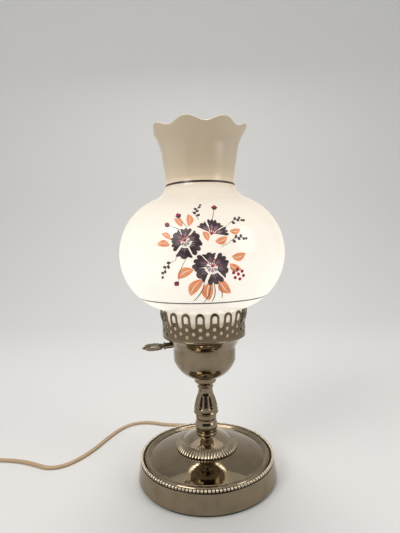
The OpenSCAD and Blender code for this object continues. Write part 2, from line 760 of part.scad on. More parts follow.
// Pressed glass mount with its exhaust tube, inside the bulb
module bulb_stem() {
    flange_r = bulb_neck_r - bulb_wall * 1.4;
    color("lightcyan") translate([0, 0, bulb_glass_z]) rotate_extrude()
        polygon(concat([[0, 0], [flange_r, 0], [flange_r, mount_foot_h]],
            bow([flange_r, mount_foot_h], [mount_r * 1.2, mount_flare_h], mount_foot_h, 8),
            [[mount_r, mount_h], [0, mount_h]]));
}

module bulb_filament() {
    color("dimgray") translate([0, 0, bulb_glass_z + mount_h]) {
        cylinder(r = filament_h * 0.15, h = filament_h);
        translate([0, 0, filament_h * 0.92]) rotate([0, 90, 0])
            cylinder(r = filament_h * 0.12, h = filament_l, center = true);
    }
}

// Outer face of the shade's plain glass: neck, globe, waist and chimney
neck_tangent = atan2(globe_c.y - neck_c.y, globe_c.x - neck_c.x);
waist_tangent = atan2(waist_c.y - globe_c.y, waist_c.x - globe_c.x);
neck_arc = arc(neck_c, neck_bend, 180, neck_tangent, 6);
globe_arc = arc(globe_c, globe_bend, neck_tangent - 180 + 4, waist_tangent - 3, 30);
waist_arc = arc(waist_c, waist_bend, waist_tangent + 180, 180, 7);
lean_arc = arc(waist_c, waist_bend, 180 - chimney_lean / 2, 180 - chimney_lean, 1);
shade_path = concat([[fitter_r, shade_z]], neck_arc, globe_arc, waist_arc, lean_arc,
    [[chimney_r, chimney_z]]);
shade_inside = beside(shade_path, glass_t);

// The one glass is told in four stretches, which meet at the neck's top, the widest line and the waist
neck_line = 1;
wide_line = len(neck_arc) + round(len(globe_arc) / 2);
waist_line = len(neck_arc) + len(globe_arc) + len(waist_arc);
top_line = len(shade_path) - 1;
module glass_between(low, high) {
    rotate_extrude() polygon(concat([for (i = [low:high]) shade_path[i]],
        [for (i = [high:-1:low]) shade_inside[i]]));
}

// The ruffle's outer face: s runs up the ruffle from 0 to 1, and a goes round
function crimp(a) = cos(crimp_count * (a - crest_turned));
function ruffle_r(s, a) = chimney_r + ruffle_h * s * tan(chimney_lean) + ruffle_flare * pow(s, 1.8) * 0.75
    + crimp_r * pow(s, 2) * crimp(a);
function ruffle_z(s, a) = chimney_z + ruffle_h * s + crimp_z * pow(s, 1.5) * crimp(a);

// The crimped edge as one closed skin: up the outside, over the rim and down the inside
module ruffle() {
    around = 10 * crimp_count;
    steps = 5;
    inset = 0.05;
    root = 2;
    function at(r, a, z) = [r * cos(a), r * sin(a), z];
    outside = [for (i = [0:steps]) [for (j = [0:around - 1]) let (s = i / steps, a = 360 * j / around)
        at(ruffle_r(s, a) - inset, a, ruffle_z(s, a))]];
    rim = [[for (j = [0:around - 1]) let (a = 360 * j / around)
        at(ruffle_r(1, a) - glass_t / 2, a, ruffle_z(1, a) + glass_t * 0.35)]];
    inside = [for (i = [steps:-1:0]) [for (j = [0:around - 1]) let (s = i / steps, a = 360 * j / around)
        at(ruffle_r(s, a) - glass_t / cos(chimney_lean) + inset, a, ruffle_z(s, a))]];
    low = [[for (j = [0:around - 1]) let (a = 360 * j / around)
        at(chimney_r - glass_t * 0.65, a, chimney_z - root)],
        [for (j = [0:around - 1]) let (a = 360 * j / around)
        at(chimney_r - glass_t * 0.4, a, chimney_z - root)]];
    rings = concat([low[1]], outside, rim, inside, [low[0]]);
    count = len(rings);
    points = [for (ring = rings) for (p = ring) p];
    faces = [for (i = [0:count - 1]) for (j = [0:around - 1])
        let (k = (j + 1) % around, up = (i + 1) % count)
        for (half = [0, 1]) half == 0
            ? [i * around + j, up * around + j, up * around + k]
            : [i * around + j, up * around + k, i * around + k]];
    polyhedron(points = points, faces = faces);
}

// The straight neck that stands in the gallery
module shade_fitter() {
    color("linen") glass_between(0, neck_line);
}

// The globe's lower half, open to the neck
module shade_bowl() {
    color("linen") glass_between(neck_line, wide_line);
}

// The globe's upper half, drawn in to the waist
module shade_dome() {
    color("linen") glass_between(wide_line, waist_line);
}

module shade_chimney() {
    color("linen") {
        glass_between(waist_line, top_line);
        ruffle();
    }
}

// The lead inside the base and up the pipe
module inner_lead() {
    inside = (exit_r - bushing_in - 2) * exit_way;
    color("peru") swept_lead(concat([[lead_gate.x, lead_gate.y, exit_z], [inside.x, inside.y, exit_z]],
        inner_route, [[0, 0, pipe_foot_z + 8], [0, 0, socket_z + cap_hub_h - 1]]), lead_w, lead_t);
}

// Tapered bushing in the skirt, bored for the lead
bushing_r = 4.6;
module lead_bushing() {
    color("saddlebrown") rotate([0, 0, exit_turned]) translate([exit_r, 0, exit_z]) rotate([0, 90, 0])
        difference() {
            union() {
                translate([0, 0, -bushing_in]) cylinder(r = bushing_r - 0.1, h = bushing_in + 2);
                translate([0, 0, 0.9]) cylinder(r = bushing_r + 1.2, h = 1.4);
                translate([0, 0, 0.9]) cylinder(r1 = bushing_r, r2 = lead_w / 2 + 0.7, h = relief_l - 0.9);
            }
            translate([0, 0, -bushing_in - 1]) cylinder(r = lead_w / 2 + 0.1, h = bushing_in + relief_l + 2);
        }
}

module lead_run() {
    color("peru") swept_lead(concat([[lead_gate.x, lead_gate.y, exit_z], [lead_exit.x, lead_exit.y, exit_z]],
        lead_route), lead_w, lead_t);
}

// The unused length, wound into a flat round coil
module lead_coil() {
    inner = coil_r - lead_w * coil_cols / 2 - coil_play;
    color("peru") translate([coil_at.x, coil_at.y, 0]) rotate_extrude() translate([inner, 0.1])
        square([lead_w * coil_cols + 2 * coil_play, (lead_t + coil_play) * coil_layers]);
}

module lead_tail() {
    color("peru") swept_lead(tail_route, lead_w, lead_t);
}

// Places a child at the end of the tail, with +X along the plug
module at_plug() {
    translate(tail_route[len(tail_route) - 1]) rotate([0, 0, plug_turned]) children();
}

module plug_body() {
    waist = plug_w * 0.3;
    color("saddlebrown") at_plug() translate([0, 0, -plug_t / 2]) linear_extrude(plug_t) polygon(concat(
        [[0, -lead_w / 2 - 1]], bow([0, -lead_w / 2 - 1], [plug_l * 0.5, -plug_w / 2], 1.4, 5),
        [[plug_l, -plug_w / 2], [plug_l, plug_w / 2], [plug_l * 0.5, plug_w / 2]],
        bow([plug_l * 0.5, plug_w / 2], [0, lead_w / 2 + 1], 1.4, 5)));
}

module plug_blades() {
    color("gold") at_plug() for (s = [-1, 1])
        translate([plug_l, s * blade_apart / 2 - blade_t / 2, -blade_w / 2]) cube([blade_l, blade_t, blade_w]);
}

felt_pad();
base_weight();
base_nut();
base_washer();
base_shell();
beaded_trim();
ribbed_cap();
stem_ring();
stem_knop();
stem_disc();
fluted_column();
stem_collar();
threaded_pipe();
socket_cup();
cup_nut();
shade_seat();
gallery_crown();
key_ferrule();
key_shaft();
turn_key();
switch_rotor();
socket_cap();
socket_shell();
socket_liner();
socket_body();
terminal_screws();
lead_wires();
screw_shell();
centre_contact();
bulb_contact();
bulb_insulator();
bulb_base();
bulb_glass();
bulb_stem();
bulb_filament();
shade_fitter();
shade_bowl();
shade_dome();
shade_chimney();
inner_lead();
lead_bushing();
lead_run();
lead_coil();
lead_tail();
plug_body();
plug_blades();
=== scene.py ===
# Electric table lamp in the form of an old oil lamp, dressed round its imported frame, in metres.
# The sections follow the lamp as it is put together: foot, stem, cup and gallery, socket and
# bulb, glass and its paint, mains lead. The studio and the camera come last.
import math

import bpy
import numpy as np
from mathutils import Matrix, Vector


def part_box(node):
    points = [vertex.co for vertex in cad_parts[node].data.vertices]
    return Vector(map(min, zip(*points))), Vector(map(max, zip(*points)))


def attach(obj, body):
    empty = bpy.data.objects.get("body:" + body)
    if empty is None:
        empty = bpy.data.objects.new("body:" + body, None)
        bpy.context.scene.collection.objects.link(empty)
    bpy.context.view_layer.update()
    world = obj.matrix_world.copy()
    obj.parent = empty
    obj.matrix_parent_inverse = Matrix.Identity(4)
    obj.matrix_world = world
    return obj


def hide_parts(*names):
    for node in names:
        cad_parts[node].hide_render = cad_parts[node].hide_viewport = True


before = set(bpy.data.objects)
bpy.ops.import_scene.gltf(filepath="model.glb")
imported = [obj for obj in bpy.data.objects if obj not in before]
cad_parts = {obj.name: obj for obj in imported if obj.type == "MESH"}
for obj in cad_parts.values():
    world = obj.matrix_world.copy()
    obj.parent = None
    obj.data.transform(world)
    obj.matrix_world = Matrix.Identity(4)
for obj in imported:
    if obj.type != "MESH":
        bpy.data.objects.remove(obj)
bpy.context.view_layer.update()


# ---- Felt pad -------------------------------------------------------------------------------
# The disc of dark green wool felt that is glued under the base, so that the metal doesn't
# scratch the table. It is cut from sheet, with a fuzzy nap.

def math_pair(operation):
    """The two methods of an operator, plain and reflected, which add the Math node of its name."""
    return (lambda held, other: held.shader.math(operation, held, other),
            lambda held, other: held.shader.math(operation, other, held))


class Value:
    """A socket that varies over a surface, with the operators that shader maths is written in."""

    __add__, __radd__ = math_pair("ADD")
    __sub__, __rsub__ = math_pair("SUBTRACT")
    __mul__, __rmul__ = math_pair("MULTIPLY")
    __truediv__, __rtruediv__ = math_pair("DIVIDE")
    __pow__, __rpow__ = math_pair("POWER")

    def __init__(self, shader, socket):
        self.shader, self.socket = shader, socket


class Shader:
    """A shader tree: node() adds a node of a type, with its settings first and then its inputs."""

    def __init__(self, tree):
        self.tree = tree

    def node(self, kind, settings=None, inputs=None, out=0):
        made = self.tree.nodes.new(kind)
        for key, value in (settings or {}).items():
            if key == "stops":
                stops = made.color_ramp.elements
                stops[0].color, stops[1].color = (*value[0][1], 1.0), (*value[-1][1], 1.0)
                for place, colour in value[1:-1]:
                    stops.new(place).color = (*colour, 1.0)
            else:
                setattr(made, key, value)
        for key, value in (inputs or {}).items():
            self.fill(made.inputs[key], value)
        return Value(self, made.outputs[out])

    def fill(self, socket, value):
        """Links a socket to a Value, or sets it to a number or a colour."""
        if isinstance(value, Value):
            self.tree.links.new(value.socket, socket)
        elif isinstance(value, tuple) and len(value) == 3 and socket.type == "RGBA":
            socket.default_value = (*value, 1.0)
        else:
            socket.default_value = value

    def math(self, operation, *values):
        return self.node("ShaderNodeMath", {"operation": operation}, dict(enumerate(values)))

    def vector(self, operation, *values, out="Vector"):
        return self.node("ShaderNodeVectorMath", {"operation": operation}, dict(enumerate(values)), out)

    def within(self, value, low, high):
        """0 at low and 1 at high, with a smooth change between them; either may be the larger."""
        return self.node("ShaderNodeMapRange", {"interpolation_type": "SMOOTHSTEP"},
                         {"Value": value, "From Min": low, "From Max": high})

    def tint(self, share, first, second):
        """The first colour where share is 0, the second where it is 1."""
        return self.node("ShaderNodeMix", {"data_type": "RGBA"}, {0: share, 6: first, 7: second}, out=2)


class Finish(Shader):
    """A material with one Principled shader, worked out from places on the object."""

    def __init__(self, name, **constants):
        self.material = bpy.data.materials.new(name)
        self.material.use_nodes = True
        super().__init__(self.material.node_tree)
        self.surface = self.tree.nodes["Principled BSDF"]
        self.place = self.node("ShaderNodeTexCoord", out="Object")
        for key, value in constants.items():
            self.set(key.replace("_", " "), value)

    def set(self, socket, value):
        self.fill(self.surface.inputs[socket], value)

    def axis(self, letter):
        """One coordinate of the place on the object, in metres."""
        return self.node("ShaderNodeSeparateXYZ", None, {0: self.place}, out="XYZ".index(letter))

    def radius(self):
        """How far the place on the object is from the lamp's axis, in metres."""
        return self.vector("LENGTH", self.vector("MULTIPLY", self.place, (1.0, 1.0, 0.0)), out="Value")

    def turn(self, parts):
        """The angle round the lamp's axis in equal parts: 0 at a part's ends, 0.5 in its middle."""
        angle = self.math("ARCTAN2", self.axis("Y"), self.axis("X"))
        return self.math("PINGPONG", angle * (parts / (2 * math.pi)), 0.5)

    def noise(self, scale, detail, stretch=None):
        """A cloudy value between 0 and 1, with about scale clouds to the metre."""
        place = self.place
        if stretch:
            place = self.node("ShaderNodeMapping", None, {"Vector": place, "Scale": stretch})
        return self.node("ShaderNodeTexNoise", None, {"Vector": place, "Scale": scale, "Detail": detail})

    def mottle(self, first, second, scale, detail, stretch=None):
        """Gives the surface a colour that wanders between two with a noise, and returns the noise."""
        cloud = self.noise(scale, detail, stretch)
        self.set("Base Color", self.tint(cloud, first, second))
        return cloud

    def bump(self, height, depth):
        """Raises the surface by height times depth, in metres."""
        self.set("Normal", self.node("ShaderNodeBump", None, {"Height": height, "Distance": depth}))


def dress(finish, *nodes):
    """Gives the finish to CAD nodes, whose shape stays as it is."""
    for name in nodes:
        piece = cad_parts[name]
        if not piece.material_slots:
            piece.data.materials.append(finish.material)
        for held in piece.material_slots:
            held.material = finish.material


felt = Finish("wool_felt", Roughness=0.95, Sheen_Weight=0.4)
felt_nap = felt.mottle((0.012, 0.035, 0.016), (0.045, 0.095, 0.050), 900, 4)
felt.bump(felt_nap, 0.0006)
dress(felt, "felt_pad")


# ---- Weight and its fastening ---------------------------------------------------------------
# A rough iron casting inside the base keeps the lamp from tipping. A zinc plated washer and a
# hex nut on the lamp pipe pull it up against the base, and a second nut sits in the cup.

cast_iron = Finish("cast_iron", Metallic=0.6)
cast_grain = cast_iron.mottle((0.035, 0.034, 0.036), (0.11, 0.105, 0.10), 700, 6)
cast_iron.set("Roughness", 0.55 + cast_grain * 0.3)
cast_iron.bump(cast_grain, 0.0007)
dress(cast_iron, "base_weight")

# The first is the dark colour that is painted as shade in recesses and between parts.
PAINTED_SHADE_DARK, SPECKS_FINER = (0.050, 0.038, 0.026), 16


def metal(name, bright, dull, roughness, cloud=70, depth=0.0, smear=0.10, painted_shade=None):
    """Metal whose colour and shine are clouded by handling, with fine specks and painted shade in its
    recesses.

    A soft noise of the scale cloud says how worn a place is. Worn places and the peaks of a finer
    noise go from bright towards dull, and worn ones are rougher by smear. A mask function of the finish,
    if given, says where shade is painted: where its share is 1, the metal is dark and rougher. depth is how
    high specks stand.
    """
    made = Finish(name, Metallic=1.0)
    worn = made.within(made.noise(cloud, 6), 0.36, 0.80)
    specks = made.noise(cloud * SPECKS_FINER, 2)
    colour = made.tint(worn * 0.45 + made.within(specks, 0.64, 0.76) * 0.4, bright, dull)
    shine = roughness + worn * smear + specks * 0.03
    # Painted shade: where the mask's share is 1, the metal is painted dark, and it is rougher.
    if painted_shade:
        share = painted_shade(made)
        colour, shine = made.tint(share, colour, PAINTED_SHADE_DARK), shine + share * 0.3
    made.set("Base Color", colour)
    made.set("Roughness", shine)
    if depth:
        made.bump(specks, depth)
    return made


zinc = metal("zinc_plate", (0.62, 0.63, 0.66), (0.42, 0.43, 0.44), 0.28, depth=0.00004)
dress(zinc, "base_nut", "base_washer", "cup_nut")


# ---- Base shell and beads -------------------------------------------------------------------
# The base is spun from thin brass, polished and lacquered. A string of brass beads lies on the
# step round it, and the step under them and the gaps between beads have painted shade.

BRASS = (0.280, 0.224, 0.152)
BRASS_DULL = (0.140, 0.103, 0.066)
BEAD_RING, BEADS = 0.069, 125
STEP_Z = 0.021


def bead_step_shade(made):
    """Painted shade on the step under the ring of beads: all that lies within 2 mm of the ring."""
    off = made.math("ABSOLUTE", made.radius() - BEAD_RING)
    return made.within(off, 0.0023, 0.0012) * made.within(made.axis("Z"), STEP_Z - 0.001, STEP_Z - 0.0002)


def bead_gap_shade(made):
    """Painted shade between the beads: grows from 0 on a bead to 1 half way to the next."""
    return made.within(made.turn(BEADS), 0.27, 0.46)


# The step under the beads is darkened with painted shade.
base_brass = metal("base_brass", BRASS, BRASS_DULL, 0.045, smear=0.06, painted_shade=bead_step_shade)
dress(base_brass, "base_shell")
# The beads' brass is a far lighter copy of the base's, a painted highlight, with painted shade in the gaps.
lit_bead_brass = metal("lit_bead_brass", (0.74, 0.655, 0.51), (0.42, 0.34, 0.24), 0.07, cloud=120, painted_shade=bead_gap_shade)
dress(lit_bead_brass, "beaded_trim")


# ---- Ribbed cap -----------------------------------------------------------------------------
# The cap on the middle of the base is pressed from brass sheet: a flat top round the pipe, a
# bowed slope, and a rim of sixty round ribs with sharp grooves. The stem holds it down.

CAP_SHEET, CAP_BORE, CAP_TOP_R = 0.0012, 0.0052, 0.0118
RIB_BAND, RIB_FOOT_H, RIM_BAND = 0.0085, 0.0071, 0.0016
SLOPE_BOW, RIB_BOW = 0.0005, 0.00087
RIBS_ROUND, GROOVE_DEEP, GROOVE_FADE = 60, 0.0008, 0.002
POINTS_A_RIB = 12
cap_foot, cap_top = (corner[2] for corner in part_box("ribbed_cap"))
cap_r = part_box("ribbed_cap")[1][0]
rib_start = cap_r - RIB_BAND


def bowed(a, b, sag, count):
    """A shallow arc from a to b in (radius, height), raised by sag at its middle."""
    t = np.linspace(0, 1, count)[:, None]
    a, b = np.array(a), np.array(b)
    up = np.array([a[1] - b[1], b[0] - a[0]]) / np.linalg.norm(b - a)
    return a + (b - a) * t + 4 * sag * t * (1 - t) * up


def all_round(count):
    """So many angles, spaced evenly round a full turn."""
    return np.linspace(0, 2 * np.pi, count, endpoint=False)


def round_axis(radius, angle, height):
    """Points from their distance from the lamp's axis, their angle round it and their height."""
    return np.stack(np.broadcast_arrays(radius * np.cos(angle), radius * np.sin(angle), height), axis=-1)


def grid_faces(rows, columns, round_rows=True, round_columns=True):
    """The faces between the points of a grid, four corners each; a grid that goes round closes up."""
    u = np.arange(rows if round_rows else rows - 1)[:, None]
    v = np.arange(columns if round_columns else columns - 1)[None, :]
    u_next, v_next = (u + 1) % rows, (v + 1) % columns
    corners = [u * columns + v, u * columns + v_next, u_next * columns + v_next, u_next * columns + v]
    return np.stack(corners, axis=-1).reshape(-1, 4)


def mesh_of(name, points, faces, sharp=None):
    """A mesh of points and faces, smooth but for edges sharper than the angle sharp, in degrees."""
    mesh = bpy.data.meshes.new(name)
    mesh.from_pydata(points.reshape(-1, 3).tolist(), [], faces)
    mesh.polygons.foreach_set("use_smooth", np.ones(len(faces), dtype=bool))
    if sharp:
        mesh.set_sharp_from_angle(angle=math.radians(sharp))
    mesh.update()
    return mesh


def in_scene(name, mesh, finish):
    """Puts a mesh into the scene under a name, in one finish."""
    mesh.materials.clear()
    mesh.materials.append(finish.material)
    held = bpy.data.objects.new(name, mesh)
    bpy.context.scene.collection.objects.link(held)
    return held


def piece_of(name, mesh, finish, body):
    """Makes a mesh a piece of the lamp, which rides on a body, in one finish."""
    piece = in_scene(name, mesh, finish)
    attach(piece, body)
    return piece


def ring_piece(name, points, finish, body, sharp=None):
    """A piece whose skin is a grid of points that goes round both ways."""
    mesh = mesh_of(name, points, grid_faces(*points.shape[:2]).tolist(), sharp)
    return piece_of(name, mesh, finish, body)


def rib_groove_shade(made):
    """Painted shade in the grooves between the ribs, from where the ribs start outwards."""
    return (made.within(made.turn(RIBS_ROUND), 0.21, 0.04)
            * made.within(made.radius(), rib_start, rib_start + GROOVE_FADE))


top_edge, rim_top = (CAP_TOP_R, cap_top), (cap_r, cap_foot + RIM_BAND)
slope_end = (rib_start, cap_foot + RIB_FOOT_H)
cap_line = np.concatenate([
    bowed((CAP_BORE, cap_top), top_edge, 0, 3)[:-1], bowed(top_edge, slope_end, SLOPE_BOW, 10),
    bowed(slope_end, rim_top, RIB_BOW, 22)[1:], bowed(rim_top, (cap_r, cap_foot), 0, 3)[1:]])
run_r, run_z = np.gradient(cap_line, axis=0).T
cap_out = np.stack([-run_z, run_r], axis=1) / np.hypot(run_r, run_z)[:, None]
# A groove's depth falls with the sine of the turn to the power 0.6: sharp where two ribs meet, round
# over the rib. It fades in over the first 2 mm of the ribs.
cap_turn = all_round(RIBS_ROUND * POINTS_A_RIB)
fade = np.clip((cap_line[:, 0] - rib_start) / GROOVE_FADE, 0, 1)[:, None]
groove = GROOVE_DEEP * fade * (1 - np.abs(np.sin(RIBS_ROUND / 2 * cap_turn)) ** 0.6)
cap_face = cap_line[:, None, :] - groove[..., None] * cap_out[:, None, :]
cap_back = (cap_line - CAP_SHEET * cap_out)[::-1]
cap_back[0, 1] = cap_foot
cap_wall = np.concatenate([cap_face, np.broadcast_to(cap_back[:, None, :], cap_face.shape)])

# The rib brass gets painted shade in the grooves between the ribs.
rib_brass = metal("rib_brass", (0.43, 0.355, 0.255), BRASS_DULL, 0.05, cloud=90, painted_shade=rib_groove_shade)
cap_piece = ring_piece("ribbed_cap_pressed", round_axis(cap_wall[..., 0], cap_turn, cap_wall[..., 1]),
                       rib_brass, "root", sharp=32)
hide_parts("ribbed_cap")


# ---- Pipe and stem --------------------------------------------------------------------------
# A threaded pipe of raw brass runs up through the lamp. The stem's turned pieces are threaded
# on it one on another, ring, knop, disc, fluted column and collar, polished and lacquered.

PIPE_PITCH, PIPE_THREAD = 0.00094, 0.0003
raw_brass = metal("raw_brass", (0.62, 0.48, 0.28), (0.40, 0.28, 0.15), 0.28)
raw_brass.bump(raw_brass.math("SINE", raw_brass.axis("Z") * (2 * math.pi / PIPE_PITCH)), PIPE_THREAD)
dress(raw_brass, "threaded_pipe")
brass = metal("lacquered_brass", BRASS, BRASS_DULL, 0.045, smear=0.06)
dress(brass, "stem_ring", "stem_knop", "stem_disc", "fluted_column", "stem_collar")


# ---- Cup, crown and key ---------------------------------------------------------------------
# The spun cup holds the socket, with the switch's key through its shoulder, and a flat ring on
# it carries the glass and the crown. The crown is pierced from sheet, and its brass is rougher
# and painted darker as shade. The tips of its arches are bent in towards the glass.

dress(brass, "socket_cup", "shade_seat", "key_ferrule", "key_shaft", "turn_key")

ARCH_BEND, BEND_FROM, BEND_TO, BEND_MOST = 0.0019, 0.013, 0.027, 1.05
crown_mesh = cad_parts["gallery_crown"].data.copy()
crown_points = np.empty(len(crown_mesh.vertices) * 3)
crown_mesh.vertices.foreach_get("co", crown_points)
crown_points = crown_points.reshape(-1, 3)
over_foot = crown_points[:, 2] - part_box("gallery_crown")[0][2]
bend = ARCH_BEND * np.clip((over_foot - BEND_FROM) / (BEND_TO - BEND_FROM), 0, BEND_MOST)
crown_points[:, :2] *= (1 - bend / np.hypot(crown_points[:, 0], crown_points[:, 1]))[:, None]
crown_mesh.vertices.foreach_set("co", crown_points.ravel())
crown_mesh.update()
# The crown's brass is a darker copy of the brass, as painted shade.
shaded_crown_brass = metal("shaded_crown_brass", (0.195, 0.153, 0.100), (0.105, 0.077, 0.048), 0.17, smear=0.08)
crown_piece = piece_of("pierced_crown", crown_mesh, shaded_crown_brass, "root")
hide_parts("gallery_crown")


# ---- Socket ---------------------------------------------------------------------------------
# A standard brass lampholder: cap and shell of bright drawn brass, a board tube inside them,
# and a moulded brown body with two screws, the screw shell and the centre contact.

drawn_brass = metal("drawn_brass", (0.80, 0.64, 0.36), (0.55, 0.40, 0.20), 0.16)
dress(drawn_brass, "socket_cap", "socket_shell", "terminal_screws", "screw_shell", "centre_contact")

board = Finish("liner_board", Roughness=0.8)
board.mottle((0.36, 0.24, 0.13), (0.58, 0.45, 0.29), 300, 5, stretch=(1.0, 1.0, 5.0))
dress(board, "socket_liner")

phenolic = Finish("brown_phenolic", Roughness=0.3)
phenolic.mottle((0.045, 0.022, 0.012), (0.11, 0.055, 0.03), 180, 4)
dress(phenolic, "socket_body", "switch_rotor")

copper = metal("bare_copper", (0.80, 0.42, 0.26), (0.50, 0.22, 0.12), 0.3, cloud=200)
dress(copper, "lead_wires")


# ---- Bulb -----------------------------------------------------------------------------------
# A pear-shaped incandescent bulb with a frosted, glowing glass. Its rolled aluminium base has
# a thread of four turns, black glass at the foot and a solder button.

THREAD_PITCH, THREAD_DEPTH, BASE_WALL = 0.00363, 0.0009, 0.0004
BASE_FOOT_R, BASE_FOOT_H = 0.0094, 0.0024
base_foot, base_top = (corner[2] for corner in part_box("bulb_base"))
base_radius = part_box("bulb_base")[1][0]

# Up the outside the radius waves with the height and the turn, so that the crests climb as a screw,
# and the sheet's inside follows it down. The wave comes in over the first 8 % of the climb, and goes
# out from 80 % to 86 %.
climb = np.linspace(0, 1, 90)[:, None]
turn = all_round(96)[None, :]
climb_z = base_foot + BASE_FOOT_H + climb * (base_top - base_foot - BASE_FOOT_H)
wave = 0.5 - 0.5 * np.cos(2 * np.pi * (climb_z - base_foot) / THREAD_PITCH - turn)
ease = np.clip(climb / 0.08, 0, 1) * np.clip((0.86 - climb) / 0.06, 0, 1)
outside_r = base_radius - THREAD_DEPTH * wave * ease
foot_r, foot_z = np.full_like(turn, BASE_FOOT_R), np.full((1, 1), base_foot)
base_r = np.concatenate([foot_r, outside_r, outside_r[::-1] - BASE_WALL, foot_r - BASE_WALL])
base_z = np.concatenate([foot_z, climb_z, climb_z[::-1], foot_z + BASE_WALL])
bulb_metal = metal("rolled_aluminium", (0.78, 0.78, 0.80), (0.55, 0.55, 0.57), 0.22)
bulb_thread = ring_piece("bulb_thread", round_axis(base_r, turn, base_z), bulb_metal,
                         "bulb", sharp=50)
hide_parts("bulb_base")

solder = metal("solder", (0.62, 0.62, 0.64), (0.40, 0.40, 0.42), 0.3)
dress(solder, "bulb_contact")
black_glass = Finish("black_glass", Roughness=0.12)
black_glass.mottle((0.012, 0.011, 0.014), (0.035, 0.03, 0.035), 90, 3)
dress(black_glass, "bulb_insulator")

BULB_DARK, BULB_BRIGHT = 0.004, 0.045
frosted = Finish("frosted_bulb", Roughness=0.35, Emission_Strength=1.0)
bulb_low, bulb_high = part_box("bulb_glass")
lit = frosted.within(frosted.axis("Z"), bulb_low[2] + BULB_DARK, bulb_low[2] + BULB_BRIGHT)
frosted.set("Base Color", frosted.tint(lit, (0.80, 0.78, 0.74), (0.90, 0.86, 0.76)))
frosted.set("Emission Color", frosted.tint(lit, (0.03, 0.02, 0.01), (0.50, 0.42, 0.26)))
dress(frosted, "bulb_glass")
mount_glass = Finish("mount_glass", Roughness=0.05, IOR=1.5, Transmission_Weight=0.8)
mount_glass.mottle((0.80, 0.86, 0.86), (0.90, 0.94, 0.94), 60, 3)
dress(mount_glass, "bulb_stem")
tungsten = metal("tungsten", (0.32, 0.31, 0.30), (0.16, 0.15, 0.15), 0.4, cloud=300)
dress(tungsten, "bulb_filament")


# ---- Glass shade ----------------------------------------------------------------------------
# One piece of blown opal glass with a straight fitter neck, a round globe, a waist and a
# chimney. The hot rim was crimped in a mould of eight lobes and flared, then fire polished.

glass_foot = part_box("shade_fitter")[0][2]
GLASS_WALL = 0.0026
NECK_R, NECK_BEND = 0.038, 0.010
GLOBE_R, GLOBE_BEND = 0.0845, 0.0595
GLOBE_IN = GLOBE_R - GLOBE_BEND
GLOBE_Z = glass_foot + 0.083
WAIST_R, WAIST_BEND = 0.035, 0.020
CHIMNEY_LEAN = math.radians(8.4)
CHIMNEY_Z = glass_foot + 0.1876
RUFFLE_HIGH, RUFFLE_FLARE = 0.0188, 0.00525
CRIMPS, CREST_AT = 8, math.radians(-60)
CRIMP_IN, CRIMP_UP = 0.0017, 0.0023


def arc(centre, radius, start, end, count):
    """Points on a circle, from one angle to another."""
    angle = np.linspace(start, end, count)[:, None]
    return np.array(centre) + radius * np.concatenate([np.cos(angle), np.sin(angle)], axis=1)


def plain_glass():
    """The outer face below the ruffle as (radius, height): straight neck, three arcs, straight chimney.

    The arcs pass into each other without a corner, so the centres of the neck's and the waist's lie
    as far from the globe's as its radius and theirs together.
    """
    neck_x, waist_x = NECK_R + NECK_BEND, WAIST_R + WAIST_BEND
    neck_z = GLOBE_Z - math.sqrt((GLOBE_BEND + NECK_BEND) ** 2 - (neck_x - GLOBE_IN) ** 2)
    waist_z = GLOBE_Z + math.sqrt((GLOBE_BEND + WAIST_BEND) ** 2 - (waist_x - GLOBE_IN) ** 2)
    low = math.atan2(GLOBE_Z - neck_z, GLOBE_IN - neck_x)
    high = math.atan2(waist_z - GLOBE_Z, waist_x - GLOBE_IN)
    neck = np.stack([np.full(8, NECK_R), np.linspace(glass_foot, neck_z, 8, endpoint=False)], axis=1)
    waist = arc((waist_x, waist_z), WAIST_BEND, high + np.pi, np.pi - CHIMNEY_LEAN, 14)
    chimney_r = waist[-1, 0] + (CHIMNEY_Z - waist[-1, 1]) * math.tan(CHIMNEY_LEAN)
    chimney = np.linspace(waist[-1], (chimney_r, CHIMNEY_Z), 9)[1:]
    return np.concatenate([neck, arc((neck_x, neck_z), NECK_BEND, np.pi, low, 10)[:-1],
                           arc((GLOBE_IN, GLOBE_Z), GLOBE_BEND, low - np.pi, high, 64), waist[1:], chimney])


# The ruffle leans on as the chimney does and flares with the 1.8th power of its height. A cosine
# of eight waves moves it out and up, more and more towards the rim.
outline = plain_glass()
around = all_round(320)[None, :]
crimp = np.cos(CRIMPS * (around - CREST_AT))
share = np.linspace(0, 1, 22)[1:, None]
ruffle_r = (outline[-1, 0] + RUFFLE_HIGH * share * math.tan(CHIMNEY_LEAN) + RUFFLE_FLARE * share ** 1.8
            + CRIMP_IN * share ** 2 * crimp)
ruffle_z = CHIMNEY_Z + RUFFLE_HIGH * share + CRIMP_UP * share ** 1.5 * crimp
face_r = np.concatenate([outline[:, 0, None] + 0 * around, ruffle_r])
face_z = np.concatenate([outline[:, 1, None] + 0 * around, ruffle_z])

# The wall: inwards along the slope's normal, and round over the rim in a half circle.
rise_r, rise_z = np.gradient(face_r, axis=0), np.gradient(face_z, axis=0)
length = np.hypot(rise_r, rise_z)
out_r, out_z = rise_z / length, -rise_r / length
rim_turn = np.radians([30, 60, 90, 120, 150])[:, None]
rim_back, rim_over = GLASS_WALL / 2 * (np.cos(rim_turn) - 1), GLASS_WALL / 2 * np.sin(rim_turn)
rim_r = face_r[-1] + rim_back * out_r[-1] - rim_over * out_z[-1]
rim_z = face_z[-1] + rim_back * out_z[-1] + rim_over * out_r[-1]
back_r, back_z = (face_r - GLASS_WALL * out_r)[::-1], (face_z - GLASS_WALL * out_z)[::-1]
back_z[-1] = glass_foot
wall_r = np.concatenate([face_r, rim_r, back_r])
wall_z = np.concatenate([face_z, rim_z, back_z])

